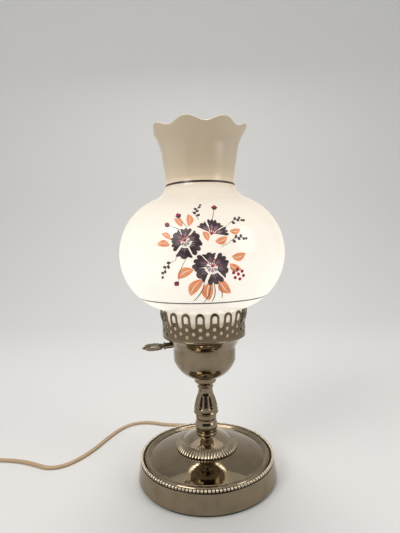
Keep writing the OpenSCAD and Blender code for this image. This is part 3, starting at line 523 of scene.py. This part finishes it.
# Painted light from the bulb, in the glass's emission and colour, with the heights over the glass's
# foot from which and to which it changes. The wall gets the cosine of its slant over the square of
# its distance from the bulb. The neck is full of light that the globe's wall throws back. The
# shoulder under the waist is painted dimmer, and a little light climbs the chimney and fades half way up.
BULB_HEART = 0.030
NECK_GLOW, NECK_FROM, NECK_TO = 0.84, 0.048, 0.014
SHOULDER_GLOW, SHOULDER_FROM, SHOULDER_TO = 0.66, 0.150, 0.100
CHIMNEY_GLOW, CHIMNEY_FROM, CHIMNEY_TO = 0.20, 0.198, 0.148

opal = Finish("opal_glass", Roughness=0.17, IOR=1.5, Emission_Strength=1.0)
from_bulb = opal.vector("SUBTRACT", opal.place, (0.0, 0.0, bulb_high[2] - BULB_HEART))
distance = opal.vector("LENGTH", from_bulb, out="Value")
slant = opal.vector("DOT_PRODUCT", from_bulb, opal.node("ShaderNodeTexCoord", out="Normal"), out="Value")
lit_wall = opal.math("ABSOLUTE", slant) * GLOBE_R ** 2 / distance ** 3
up_glass = opal.axis("Z") - glass_foot
lit_neck = opal.within(up_glass, NECK_FROM, NECK_TO) * NECK_GLOW
below_shoulder = opal.within(up_glass, SHOULDER_FROM, SHOULDER_TO)
lit_globe = (opal.math("MINIMUM", opal.math("MAXIMUM", lit_wall, lit_neck), 1.0)
             * (SHOULDER_GLOW + below_shoulder * (1 - SHOULDER_GLOW)))
lit_chimney = opal.within(up_glass, CHIMNEY_FROM, CHIMNEY_TO) * CHIMNEY_GLOW
glow = opal.math("MAXIMUM", lit_globe, lit_chimney)
# Painted light: the base colour goes from a darker, warmer tone where the glow is weak to pale where it is
# strong, and the emission follows the glow.
opal.set("Base Color", opal.tint(opal.within(glow, 0.0, 0.9), (0.60, 0.505, 0.375), (0.86, 0.84, 0.80)))
opal.set("Emission Color", opal.node("ShaderNodeValToRGB", {"stops": [
    (0.0, (0.010, 0.006, 0.002)), (0.13, (0.055, 0.034, 0.013)), (0.22, (0.20, 0.135, 0.065)),
    (0.75, (0.26, 0.190, 0.105)), (0.91, (0.355, 0.29, 0.195)), (1.0, (0.45, 0.41, 0.34))]},
    {0: glow * (0.97 + opal.noise(9, 2) * 0.06)}))

shade_piece = ring_piece("shade_glass", round_axis(wall_r, around, wall_z), opal,
                         "shade", sharp=70)
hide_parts("shade_fitter", "shade_bowl", "shade_dome", "shade_chimney")


# ---- Painted bands and flowers --------------------------------------------------------------
# Enamel that was printed on the cool glass and fired: a dark band at the waist, a fine grey
# band over the neck, and a loose spray of dark blossoms, coral leaves and crimson berries.

PAINT_LIFT, PAINT_THICK = 0.00012, 0.00022
MM = 0.001


def enamel(name, colour, other, mottle=500):
    """Paint that is mottled between two colours at the scale mottle."""
    made = Finish(name, Roughness=0.35)
    made.set("Base Color", made.tint(made.within(made.noise(mottle, 3), 0.3, 0.7), colour, other))
    return made


def band(name, z, height, finish):
    """A ring of paint that follows the glass from z - height/2 to z + height/2, with soft edges."""
    levels = np.linspace(z - height / 2, z + height / 2, 7)
    radius = np.interp(levels, outline[:, 1], outline[:, 0])
    lean = np.gradient(radius, levels)
    tall = np.sqrt(1 + lean ** 2)
    swell = PAINT_LIFT * np.sin(np.linspace(0.15, np.pi - 0.15, 7)) ** 0.4
    front = np.stack([radius + swell / tall, levels - swell * lean / tall])
    back = np.stack([radius - PAINT_LIFT / tall, levels + PAINT_LIFT * lean / tall])[:, ::-1]
    ring_r, ring_z = np.concatenate([front, back], axis=1)[..., None]
    return ring_piece(name, round_axis(ring_r, all_round(256), ring_z), finish, "shade")


dark_enamel = enamel("dark_enamel", (0.022, 0.012, 0.010), (0.05, 0.025, 0.02))
grey_enamel = enamel("grey_enamel", (0.11, 0.12, 0.12), (0.20, 0.21, 0.20))
band("waist_band", glass_foot + 0.1519, 0.0021, dark_enamel)
band("neck_band", glass_foot + 0.0398, 0.0013, grey_enamel)


def on_globe(across, up, lift):
    """A point of the flat drawing on the globe: across along its ring there, up along the globe's arc."""
    tilt = up / GLOBE_BEND
    ring = GLOBE_IN + GLOBE_BEND * np.cos(tilt)
    height = GLOBE_Z + (GLOBE_BEND + lift) * np.sin(tilt)
    return round_axis(ring + lift * np.cos(tilt), across / ring - np.pi / 2, height)


def painted(name, patches, finish, lift=PAINT_LIFT):
    """One piece of paint on the globe, of flat patches that are each a grid of (across, up) in mm."""
    points, faces, start = [], [], 0
    for patch in patches:
        points.append(on_globe(patch[..., 0] * MM, patch[..., 1] * MM, lift).reshape(-1, 3))
        outward = np.linalg.det([patch[0, 1] - patch[0, 0], patch[1, 0] - patch[0, 0]]) > 0
        cells = grid_faces(*patch.shape[:2], round_rows=False, round_columns=False)
        faces.append(start + (cells if outward else cells[:, ::-1]))
        start += len(points[-1])
    mesh = mesh_of(name, np.concatenate(points), np.concatenate(faces).tolist())
    piece = piece_of(name, mesh, finish, "shade")
    wall = piece.modifiers.new("paint_depth", "SOLIDIFY")
    wall.thickness, wall.offset = PAINT_THICK, -1.0


def place(points, at, turn=0.0, squash=1.0):
    """Squashes, turns (in degrees) and moves a flat patch."""
    turn = math.radians(turn)
    x, y = points[..., 0], points[..., 1] * squash
    across, up = x * math.cos(turn) - y * math.sin(turn), x * math.sin(turn) + y * math.cos(turn)
    return np.stack([across, up], -1) + np.array(at)


def from_heart(reach, angle):
    """Flat points round a blossom's heart, which lies a little above the middle: reach is less upwards."""
    reach = reach * (1 - 0.15 * np.sin(angle))
    return np.stack([reach * np.cos(angle), reach * np.sin(angle)], -1)


def petal(size, middle, spread, low, high, lobes):
    """A fan from low to high out from the heart: narrow at its root, with round lobes along its edge."""
    along, t = np.linspace(0, 1, 10)[:, None], np.linspace(-1, 1, 19)[None, :]
    edge = 0.84 + 0.16 * np.abs(np.cos(lobes * np.pi / 2 * (t + (lobes + 1) % 2))) ** 0.55
    angle = middle + spread * t * (0.80 + 0.20 * along ** 0.6)
    return from_heart(size * (low + (high * edge - low) * along), angle)


def petals_of(size, petals, open_to):
    """For each petal of a blossom: the way its middle points, and where it begins and ends."""
    for i in range(petals):
        middle = (np.pi - open_to) / 2 + open_to * (i + 0.5) / petals + 0.07 * math.sin(4.1 * i + size)
        low = 0.24 + 0.20 * (0.5 - 0.5 * math.sin(middle)) ** 1.5
        yield middle, low, 1.0 + 0.07 * math.sin(2.7 * i + size)


def blossom(at, size, turn, squash, petals, open_to):
    """Broad petals, of three and two lobes by turns, with a thin gap between each two."""
    spread = 0.955 * open_to / petals / 2
    for i, (middle, low, high) in enumerate(petals_of(size, petals, open_to)):
        yield place(petal(size, middle, spread, low, high, 3 - i % 2), at, turn, squash)


def veins(at, size, turn, squash, petals, open_to):
    """Three thin light lines up each petal, and in an open blossom small light petals under the heart."""
    if petals > 4:
        for middle in (-2.6, -1.9, -1.2, -0.5):
            yield place(petal(size, middle, 0.30, 0.12, 0.33, 1), at, turn, squash)
    spread = 0.74 * open_to / petals / 2
    for middle, low, _ in petals_of(size, petals, open_to):
        for side, reach in ((-0.5, 0.60), (0.0, 0.70), (0.5, 0.60)):
            angle = middle + spread * side * np.array([0.8, 0.95, 1.0])
            line = from_heart(size * np.array([low * 1.05, (low + reach) / 2, reach]), angle)
            yield place(stroke(line, 0.45, 8), at, turn, squash)


def leaf(at, long, wide, turn, bend=0.12, vein=0.06):
    """Two halves of a pointed leaf on each side of a bare vein, bent sideways along its length."""
    along = np.linspace(0.0, 1.0, 13)[:, None]
    width = wide / 2 * np.sin(np.pi * np.clip(along * 0.97 + 0.02, 0, 1)) ** 0.8
    for side in (-1, 1):
        out = np.linspace(vein, 1, 6)[None, :] * side
        y = long * bend * (along ** 2 - along) * 4 + width * out
        yield place(np.stack([long * along + 0 * out, y], -1), at, turn)


def disc(at, radius):
    """A round spot, as a square grid whose sides are bowed out to a circle."""
    a, b = np.meshgrid(np.linspace(-1, 1, 7), np.linspace(-1, 1, 7), indexing="ij")
    x, y = a * np.sqrt(1 - b ** 2 / 2), b * np.sqrt(1 - a ** 2 / 2)
    return place(np.stack([x, y], -1) * radius, at)


def through(points, s):
    """A smooth curve that is at the first of three points at 0, the second at 0.5 and the third at 1."""
    start, middle, end = (np.array(p, dtype=float) for p in points)
    return (1 - s) ** 2 * start + 2 * s * (1 - s) * (2 * middle - (start + end) / 2) + s ** 2 * end


def stroke(points, width, count=24):
    """A line of the brush on a smooth curve through three points, thinning to its ends."""
    s = np.linspace(0, 1, count)[:, None]
    line = through(points, s)
    ahead = np.gradient(line, axis=0)
    ahead /= np.linalg.norm(ahead, axis=1)[:, None]
    side = np.stack([-ahead[:, 1], ahead[:, 0]], -1)
    press = width / 2 * (0.35 + 0.65 * np.sin(np.pi * s) ** 0.5)
    return np.stack([line - side * press, line, line + side * press], axis=1)


# The spray: two open blossoms and a half-open one on a slant, in millimetres right of the front
# and above the globe's widest line, each with its size, turn, squash, petals and opening.
BLOSSOMS = [((-14.5, 12.5), 13.4, 24, 0.95, 6, 2 * np.pi), ((8.0, -9.5), 15.4, -20, 0.95, 6, 2 * np.pi),
            ((8.0, 18.0), 15.5, -20, 0.95, 4, 2.8)]
charcoal = [patch for held in BLOSSOMS for patch in blossom(*held)]

# Small round leaves by turns on each side of four drooping twigs, the last one at the tip.
TWIGS = [((22, 9), (30, 14), (38, 13)), ((22, 25), (30, 31), (37, 30)), ((-23, -4), (-31, -9), (-35, -18)),
         ((-2, 31), (-5, 39), (-1, 47))]
for twig in TWIGS:
    heading = math.degrees(math.atan2(twig[2][1] - twig[0][1], twig[2][0] - twig[0][0]))
    for i, spot in enumerate(through(twig, np.linspace(0.25, 1.0, 6)[:, None])):
        swing = (48 if i % 2 else -48) * (i < 5)
        charcoal += leaf(spot, 3.9 - 0.25 * i, 2.5, heading + swing, 0.05, 0.0)

# Crimson: stamens in the hearts, a cluster of berries at the lower right, and buds in dark sepals.
crimson = []
for at, size, tilt, squash, *_ in BLOSSOMS:
    for k in (-1.15, -0.55, 0.0, 0.6, 1.2):
        lean = math.radians(tilt) + k + np.pi / 2
        tip = np.array(at) + 0.40 * size * np.array([math.cos(lean), math.sin(lean) * squash])
        crimson += [stroke((at, (np.array(at) + tip) / 2, tip), 0.75, 8), disc(tip, 0.8)]
    crimson += [disc(at, 0.075 * size)]
BERRIES = [(26.5, -16), (30, -13), (31, -17.5), (34.5, -15), (28, -20.5), (32.5, -22), (36, -19)]
crimson += [disc(spot, 1.5) for spot in BERRIES]
BUDS = [((-19, 33.5), 6.0, 112), ((-28, 26.0), 5.4, 150), ((11, 41.5), 6.2, 84), ((-21, -23), 5.4, 222)]
for at, long, tilt in BUDS:
    crimson += leaf(at, long, 4.6, tilt, 0.0, 0.0)
    for lean, part in ((-34, 0.8), (34, 0.8), (0, 0.55)):
        charcoal += leaf(at, long * part, 1.3, tilt + lean, 0.0, 0.0)

charcoal_enamel = enamel("charcoal_enamel", (0.040, 0.024, 0.026), (0.130, 0.080, 0.092), 150)
painted("painted_blossoms", charcoal, charcoal_enamel)
mauve_enamel = enamel("mauve_enamel", (0.42, 0.30, 0.35), (0.62, 0.50, 0.52), 150)
light = [patch for held in BLOSSOMS for patch in veins(*held)]
painted("painted_veins", light, mauve_enamel, 2 * PAINT_LIFT)
crimson_enamel = enamel("crimson_enamel", (0.38, 0.006, 0.040), (0.56, 0.025, 0.085), 300)
painted("painted_berries", crimson, crimson_enamel)

# Coral leaves under the blossoms, each with its root, length, width and heading in degrees.
LEAVES = [((0, -21), 20, 9.5, -124), ((7, -23), 21, 10, -96), ((15, -21), 18, 9.5, -60),
          ((-8, -12), 16, 8.5, -150), ((25, -2), 13, 7, 10), ((23, -8), 12, 6.5, -26),
          ((-11, 25.5), 12, 6, 92), ((-17, 25), 11, 5.5, 128), ((-28, 9), 12, 6, 176),
          ((-27, 14), 10, 5, 148), ((24, 20), 10, 5.5, 8), ((11, 11), 11, 6.5, 20), ((5, 12), 9, 5, 118)]
coral_enamel = enamel("coral_enamel", (0.82, 0.27, 0.11), (0.97, 0.42, 0.20), 200)
# The coral paint glows faintly: painted light of the bulb shining through the glass.
coral_enamel.set("Emission Color", (0.16, 0.045, 0.016))
coral_enamel.set("Emission Strength", 1.0)
painted("painted_leaves", [half for held in LEAVES for half in leaf(*held)], coral_enamel, PAINT_LIFT / 2)

# Stems in grey, each through three points, with its width.
STEMS = [((1, -24), (-2, -34), (-9, -45), 1.0), ((6, -24), (5, -36), (0, -47), 0.95),
         ((9, -24), (10, -36), (7, -46), 0.95), ((12, -24), (16, -34), (16, -42), 0.8),
         ((-12, 24), (-16, 29), (-19, 34), 0.6), ((-16, 21), (-22, 24), (-28, 26), 0.6),
         ((9, 31), (10, 36), (11, 42), 0.6), ((23, -12), (27, -14), (31, -16), 0.6),
         ((-14, -3), (-19, -13), (-21, -23), 0.6), ((16, 6), (19, 8), (22, 9), 0.5),
         ((19, 23), (20, 24), (22, 25), 0.5), ((-20, 2), (-22, -1), (-23, -4), 0.5)]
strokes = [stroke(points, width) for *points, width in STEMS] + [stroke(twig, 0.6) for twig in TWIGS]
painted("painted_stems", strokes, grey_enamel, PAINT_LIFT / 2)


# ---- Mains lead -----------------------------------------------------------------------------
# Flat two-core lead in golden brown vinyl. It leaves the back of the base through a ribbed
# bushing, wanders over the table, and what is left is wound into a tied coil with the plug.

LEAD_WIDE, LEAD_THICK = 0.0052, 0.0028
EXIT_TURN, EXIT_Z = math.radians(100), 0.009
BASE_R, SKIRT_LEAN, FELT = 0.073, 0.0025, 0.0015
STRAIGHT_OUT, PATH_STEP = 0.014, 0.0025
exit_r = BASE_R - SKIRT_LEAN * (EXIT_Z - FELT) / (STEP_Z - FELT)
exit_way = np.array([math.cos(EXIT_TURN), math.sin(EXIT_TURN), 0.0])
exit_point = exit_way * exit_r + (0, 0, EXIT_Z)

# The way over the table, in millimetres, up to where the coil begins, and from the coil to the plug.
LEAD_ROUTE = [(-16.5, 94, 7.4), (-20.5, 101.5, 4.8), (-27, 107.5, 2.6), (-36, 111, 1.6), (-46, 112.5, 1.5),
              (-58.5, 115, 1.5), (-71.5, 119.5, 1.5), (-84, 121.5, 1.5), (-97, 119, 1.5), (-108, 111, 1.5),
              (-116.5, 98.5, 1.5), (-123.5, 83.5, 1.5), (-129, 69.5, 1.5), (-134, 56.5, 1.5),
              (-139.5, 44.5, 1.5), (-145.5, 34, 1.5), (-152.5, 25, 1.5), (-160.5, 18, 1.5),
              (-169.5, 14.5, 1.5), (-179.5, 15, 1.5), (-190, 19.5, 1.5), (-202, 25, 1.5),
              (-214, 29, 1.5), (-226, 31.5, 1.5), (-240, 33.5, 1.5), (-254, 36, 1.5), (-267, 38.5, 1.5)]
TAIL_ROUTE = [(-297.5, -23, 9.7), (-291, -29.5, 7.8), (-284.5, -36, 6), (-279.5, -41, 5.7),
              (-277.5, -43, 5.7)]

COIL_AT, COIL_R, COIL_LAYERS = (-0.280, 0.0064), 0.0305, 4
COIL_PLAY, COIL_SHIFT, COIL_REST = 0.0001, 1 / 6, 135 / 360


def eased(share):
    """From 0 to 1 as share does, but level at both ends."""
    return share * share * (3 - 2 * share)


def coil_path():
    """Turns that fill a layer from outside in and the next from inside out, then part of one more.

    Each turn is level and round but for its last sixth, in which it shifts to the next one's place.
    """
    whole_turns = 2 * COIL_LAYERS - 1
    turns = whole_turns + COIL_REST
    at = np.linspace(0, turns, int(turns * 24) + 1)
    now = np.minimum(at.astype(int), whole_turns)
    then = np.minimum(now + 1, whole_turns)
    shift = eased(np.clip((at - now - (1 - COIL_SHIFT)) / COIL_SHIFT, 0, 1))
    column = np.array([1, 0, 0, 1] * (COIL_LAYERS // 2))
    layer = np.arange(2 * COIL_LAYERS) // 2
    side = column[now] + (column[then] - column[now]) * shift
    level = layer[now] + (layer[then] - layer[now]) * shift
    radius = COIL_R + (side - 0.5) * (LEAD_WIDE + COIL_PLAY)
    height = COIL_PLAY + (LEAD_THICK + COIL_PLAY) * (level + 0.5)
    return round_axis(radius, np.pi / 2 + 2 * np.pi * at, height) + (*COIL_AT, 0)


def walked(points):
    """How far each point is along the line of points."""
    return np.concatenate([[0], np.cumsum(np.linalg.norm(np.diff(points, axis=0), axis=1))])


def places_at(distances, points):
    """The places at some distances along the line of points."""
    return np.stack([np.interp(distances, walked(points), points[:, k]) for k in range(3)], -1)


def smooth_path(points):
    """A curve through the points, each stretch a cubic on its neighbours, spaced evenly; and its length."""
    p = np.concatenate([[2 * points[0] - points[1]], points, [2 * points[-1] - points[-2]]])
    s = np.linspace(0, 1, 12, endpoint=False)[None, :, None]
    a, b, c, d = (p[i:len(p) - 3 + i, None, :] for i in range(4))
    fine = b + ((c - a) * s + (2 * a - 5 * b + 4 * c - d) * s ** 2 + (3 * b - a - 3 * c + d) * s ** 3) / 2
    fine = np.concatenate([fine.reshape(-1, 3), points[-1:]])
    length = walked(fine)[-1]
    return places_at(np.linspace(0, length, int(length / PATH_STEP) + 1), fine), length


out_of_base = exit_point + exit_way * STRAIGHT_OUT * np.array([[0], [0.5], [1]])
lead_path, lead_length = smooth_path(np.concatenate(
    [out_of_base, np.array(LEAD_ROUTE) * MM, coil_path(), np.array(TAIL_ROUTE) * MM]))

# The section: two round cores side by side, joined by a thin web.
CORE_R = LEAD_THICK / 2
core_turn = np.radians(np.linspace(-125, 125, 11))
right_core = np.stack([LEAD_WIDE / 2 - CORE_R + CORE_R * np.cos(core_turn), CORE_R * np.sin(core_turn)], -1)
section = np.concatenate([right_core, -right_core])


def swept(path, section):
    """Carries a flat section, or one for each point, along a path, its first axis level, its second up."""
    ahead = np.gradient(path, axis=0)
    ahead /= np.linalg.norm(ahead, axis=1)[:, None]
    side = np.cross(ahead, (0.0, 0.0, 1.0))
    side /= np.linalg.norm(side, axis=1)[:, None]
    top = np.cross(side, ahead)
    wide, tall = section[..., 0, None], section[..., 1, None]
    return path[:, None, :] + side[:, None, :] * wide + top[:, None, :] * tall


def capped(name, rings, finish, sharp):
    """A piece that doesn't move, from rings of points along its length with a face across each end."""
    rows, columns = rings.shape[:2]
    faces = grid_faces(rows, columns, round_rows=False)[:, [0, 3, 2, 1]].tolist()
    faces += [list(range(columns)), list(range((rows - 1) * columns, rows * columns))[::-1]]
    return piece_of(name, mesh_of(name, rings, faces, sharp), finish, "root")


vinyl = Finish("lead_vinyl", Roughness=0.32, Coat_Weight=0.2)
vinyl.mottle((0.44, 0.29, 0.155), (0.56, 0.40, 0.24), 60, 3)
mains_lead = capped("mains_lead", swept(lead_path, section[None]), vinyl, sharp=75)
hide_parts("lead_run", "lead_coil", "lead_tail")
dress(vinyl, "inner_lead")

# The plug: moulded over the lead's end, with three grip rings on its neck and soft edges all round.
PLUG_AT, PLUG_TURN = np.array(TAIL_ROUTE[-1]) * MM, math.radians(-45)
PLUG_LONG, PLUG_WIDE, PLUG_THICK = 0.024, 0.021, 0.011
PLUG_NECK_WIDE, PLUG_NECK_THICK, PLUG_NECK_LONG, SWELL_LONG = 0.008, 0.006, 0.005, 0.0085
GRIP_HIGH, END_SOFT, END_LONG = 0.0005, 0.0016, 0.0018
PLUG_SQUARE = 2 / 3.4
neck_x = [0, 0.0005, 0.0018, 0.0022, 0.0030, 0.0034, 0.0042, 0.0046, 0.0054, 0.0058, 0.0066]
body_x = [0.0075, 0.009, 0.0105, 0.012, 0.014, 0.0165, 0.019, 0.021, 0.0225, 0.0233, 0.0238, PLUG_LONG]


def squared(angle, power):
    """A squared circle: the cosine and the sine of the angle, raised to a power with their signs kept."""
    wave = np.stack([np.cos(angle), np.sin(angle)])
    return np.sign(wave) * np.abs(wave) ** power


plug_x = np.array(neck_x + body_x)
grow = eased(np.clip((plug_x - PLUG_NECK_LONG) / SWELL_LONG, 0, 1))
grip = GRIP_HIGH * np.array([0, 1, 1, 0, 0, 1, 1, 0, 0, 1, 1] + [0] * len(body_x))
near_end = np.clip((plug_x - PLUG_LONG) / END_LONG + 1, 0, 1)
edge = grip - END_SOFT * (1 - np.sqrt(1 - near_end ** 2))
plug_half_w = PLUG_NECK_WIDE / 2 + (PLUG_WIDE - PLUG_NECK_WIDE) / 2 * grow + edge
plug_half_t = PLUG_NECK_THICK / 2 + (PLUG_THICK - PLUG_NECK_THICK) / 2 * grow + edge
across, upward = squared(all_round(48), PLUG_SQUARE)
plug_axis = np.array([math.cos(PLUG_TURN), math.sin(PLUG_TURN), 0.0])
plug_side = np.array([math.sin(PLUG_TURN), -math.cos(PLUG_TURN), 0.0])
plug_rings = (PLUG_AT + plug_x[:, None, None] * plug_axis
              + (plug_half_w[:, None] * across)[..., None] * plug_side
              + (plug_half_t[:, None] * upward)[..., None] * np.array([0, 0, 1.0]))
plug_plastic = Finish("plug_plastic", Roughness=0.45)
plug_plastic.mottle((0.10, 0.05, 0.028), (0.15, 0.08, 0.045), 150, 4)
plug_piece = capped("moulded_plug", plug_rings, plug_plastic, sharp=60)
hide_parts("plug_body")
blade_brass = metal("blade_brass", (0.80, 0.66, 0.38), (0.60, 0.46, 0.24), 0.22)
dress(blade_brass, "plug_blades")

# A strap of the same plastic holds the coil together on the side away from the plug. Each corner of
# its flat section runs once round the coil's turns on a squared circle.
STRAP_TURN, STRAP_WIDE, STRAP_THICK = math.radians(150), 0.0032, 0.0007
STRAP_PLAY, STRAP_SQUARE = 0.0002, 0.4
strap_in, strap_out = COIL_R - LEAD_WIDE - STRAP_PLAY, COIL_R + LEAD_WIDE + STRAP_PLAY
strap_top = COIL_LAYERS * (LEAD_THICK + COIL_PLAY) + STRAP_PLAY
bend_x, bend_z = squared(all_round(40)[:, None], STRAP_SQUARE)
grown = np.array([0.0, STRAP_THICK, STRAP_THICK, 0.0])
aside = np.array([-1, -1, 1, 1]) * STRAP_WIDE / 2
strap_reach = (strap_in + strap_out) / 2 + ((strap_out - strap_in) / 2 + grown) * bend_x
strap_z = (strap_top + STRAP_THICK) / 2 + ((strap_top - STRAP_THICK) / 2 + grown) * bend_z
strap_x = COIL_AT[0] + strap_reach * math.cos(STRAP_TURN) - aside * math.sin(STRAP_TURN)
strap_y = COIL_AT[1] + strap_reach * math.sin(STRAP_TURN) + aside * math.cos(STRAP_TURN)
ring_piece("coil_strap", np.stack([strap_x, strap_y, strap_z], -1), plug_plastic,
           "root", sharp=40)

# The strain relief is a soft ribbed sleeve with a collar, moulded on the lead where it leaves the base.
RELIEF_IN, RELIEF_OUT = 0.006, 0.026
RELIEF_ROOT, RELIEF_TIP, RELIEF_FLATTER = 0.0046, 0.0034, 0.22
RELIEF_RIBS, RIB_HIGH = 8, 0.00035
COLLAR_FROM, COLLAR_TO, COLLAR_HIGH = 0.0009, 0.0023, 0.0012
outside = lead_path[lead_path @ exit_way > exit_point @ exit_way - 1e-6][:40]
stops = np.linspace(0, RELIEF_IN + RELIEF_OUT, 81)
relief_line = places_at(stops, np.concatenate([[exit_point - exit_way * RELIEF_IN], outside]))
share = np.clip((stops - RELIEF_IN) / RELIEF_OUT, 0, 1)
rib = np.clip(np.sin(2 * np.pi * RELIEF_RIBS * share) * 3, -1, 1) * (share > 0) * (share < 0.98)
collar = (stops > RELIEF_IN + COLLAR_FROM) & (stops < RELIEF_IN + COLLAR_TO)
reach = RELIEF_ROOT + (RELIEF_TIP - RELIEF_ROOT) * share + RIB_HIGH * rib + COLLAR_HIGH * collar
relief_turn = all_round(28)
flat = 1 - RELIEF_FLATTER * share
oval = np.stack([np.outer(reach, np.cos(relief_turn)), np.outer(reach * flat, np.sin(relief_turn))], -1)
relief = capped("strain_relief", swept(relief_line, oval), plug_plastic, sharp=50)
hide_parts("lead_bushing")


# ---- Studio ---------------------------------------------------------------------------------
# A pale sweep of board that curves up behind the lamp, three soft lamps and a pale room. A
# charcoal card stands behind the camera, so that the metal has something dark to mirror.

PALE, CHARCOAL = (0.80, 0.79, 0.77), (0.060, 0.057, 0.056)
SWEEP_FRONT, SWEEP_BEND_Y, SWEEP_BEND_R = -2.2, 0.75, 0.45
SWEEP_WALL_Z, SWEEP_TOP, SWEEP_HALF = 0.5, 2.4, 2.4
CARD_Y, CARD_HALF, CARD_TALL = -1.6, 1.5, 1.9

# From the side the sweep is a straight floor, a quarter circle and a straight wall.
bend_turn = np.linspace(0.1, np.pi / 2, 14)
sweep_y = np.concatenate([np.linspace(SWEEP_FRONT, SWEEP_BEND_Y, 20),
                          SWEEP_BEND_Y + SWEEP_BEND_R * np.sin(bend_turn),
                          np.full(8, SWEEP_BEND_Y + SWEEP_BEND_R)])
sweep_z = np.concatenate([np.zeros(20), SWEEP_BEND_R * (1 - np.cos(bend_turn)),
                          np.linspace(SWEEP_WALL_Z, SWEEP_TOP, 8)])
sweep_x = np.linspace(-SWEEP_HALF, SWEEP_HALF, 9)
sweep = np.stack(np.broadcast_arrays(sweep_x, sweep_y[:, None], sweep_z[:, None]), -1)
sweep_faces = grid_faces(*sweep.shape[:2], round_rows=False, round_columns=False)
paper = Finish("studio_paper", Roughness=0.9)
paper.set("Base Color", PALE)
in_scene("backdrop", mesh_of("backdrop", sweep, sweep_faces.tolist()), paper)

card_corners = np.array([(-CARD_HALF, CARD_Y, 0), (CARD_HALF, CARD_Y, 0),
                         (CARD_HALF, CARD_Y, CARD_TALL), (-CARD_HALF, CARD_Y, CARD_TALL)])
charcoal_card = Finish("charcoal_card", Roughness=0.9)
charcoal_card.set("Base Color", CHARCOAL)
card = in_scene("dark_card", mesh_of("dark_card", card_corners, [(0, 3, 2, 1)]), charcoal_card)
card.visible_camera = False

# The room lights the lamp softly, and what the camera, metal or glass sees of it is the pale board.
world = bpy.data.worlds.new("studio_room")
bpy.context.scene.world = world
world.use_nodes = True
room = Shader(world.node_tree)
camera_ray, glossy_ray, glass_ray = (room.node("ShaderNodeLightPath", out=f"Is {kind} Ray")
                                     for kind in ("Camera", "Glossy", "Transmission"))
seen = room.math("MAXIMUM", camera_ray, room.math("MAXIMUM", glossy_ray, glass_ray))
ambient = room.node("ShaderNodeBackground", None, {"Color": (0.95, 0.97, 1.0), "Strength": 0.55})
shown = room.node("ShaderNodeBackground", None, {"Color": PALE, "Strength": 1.0})
room.fill(room.tree.nodes["World Output"].inputs["Surface"],
          room.node("ShaderNodeMixShader", None, {0: seen, 1: ambient, 2: shown}))


def soft_lamp(name, at, toward, size, power, shape="RECTANGLE"):
    """A soft lamp of a size in metres and a power in watts, turned to a point."""
    light = bpy.data.lights.new(name, "AREA")
    light.shape, light.size, light.size_y = shape, size[0], size[1]
    light.energy, light.color = power, (1.0, 0.98, 0.95)
    lamp = bpy.data.objects.new(name, light)
    lamp.location = at
    lamp.rotation_euler = (Vector(at) - Vector(toward)).to_track_quat("Z", "Y").to_euler()
    bpy.context.scene.collection.objects.link(lamp)


soft_lamp("key_lamp", (-0.9, -0.9, 1.2), (0, 0, 0.15), (0.7, 0.7), 9.0)
soft_lamp("fill_lamp", (1.1, -0.6, 0.7), (0, 0, 0.15), (0.5, 0.9), 3.5)
soft_lamp("top_lamp", (0.0, 0.5, 1.25), (0, 0, 0.1), (0.62, 0.62), 5.0, shape="ELLIPSE")


# ---- Camera ---------------------------------------------------------------------------------
# It stands in front of the lamp at the height of the globe's middle, tipped down a little and
# rolled a little.

EYE_AT, TIPPED, ROLLED = (-0.002367, -0.415019, 0.243956), math.radians(3.09), math.radians(-1.52)
eye = bpy.data.cameras.new("camera")
eye.sensor_width = 36.0
eye.lens = 26.86
eye.clip_start, eye.clip_end = 0.01, 20.0
camera = bpy.data.objects.new("camera", eye)
bpy.context.scene.collection.objects.link(camera)
camera.matrix_world = (Matrix.Translation(EYE_AT) @ Matrix.Rotation(math.pi / 2 - TIPPED, 4, "X")
                       @ Matrix.Rotation(ROLLED, 4, "Z"))
bpy.context.scene.camera = camera
bpy.context.scene.view_settings.view_transform = "Standard"
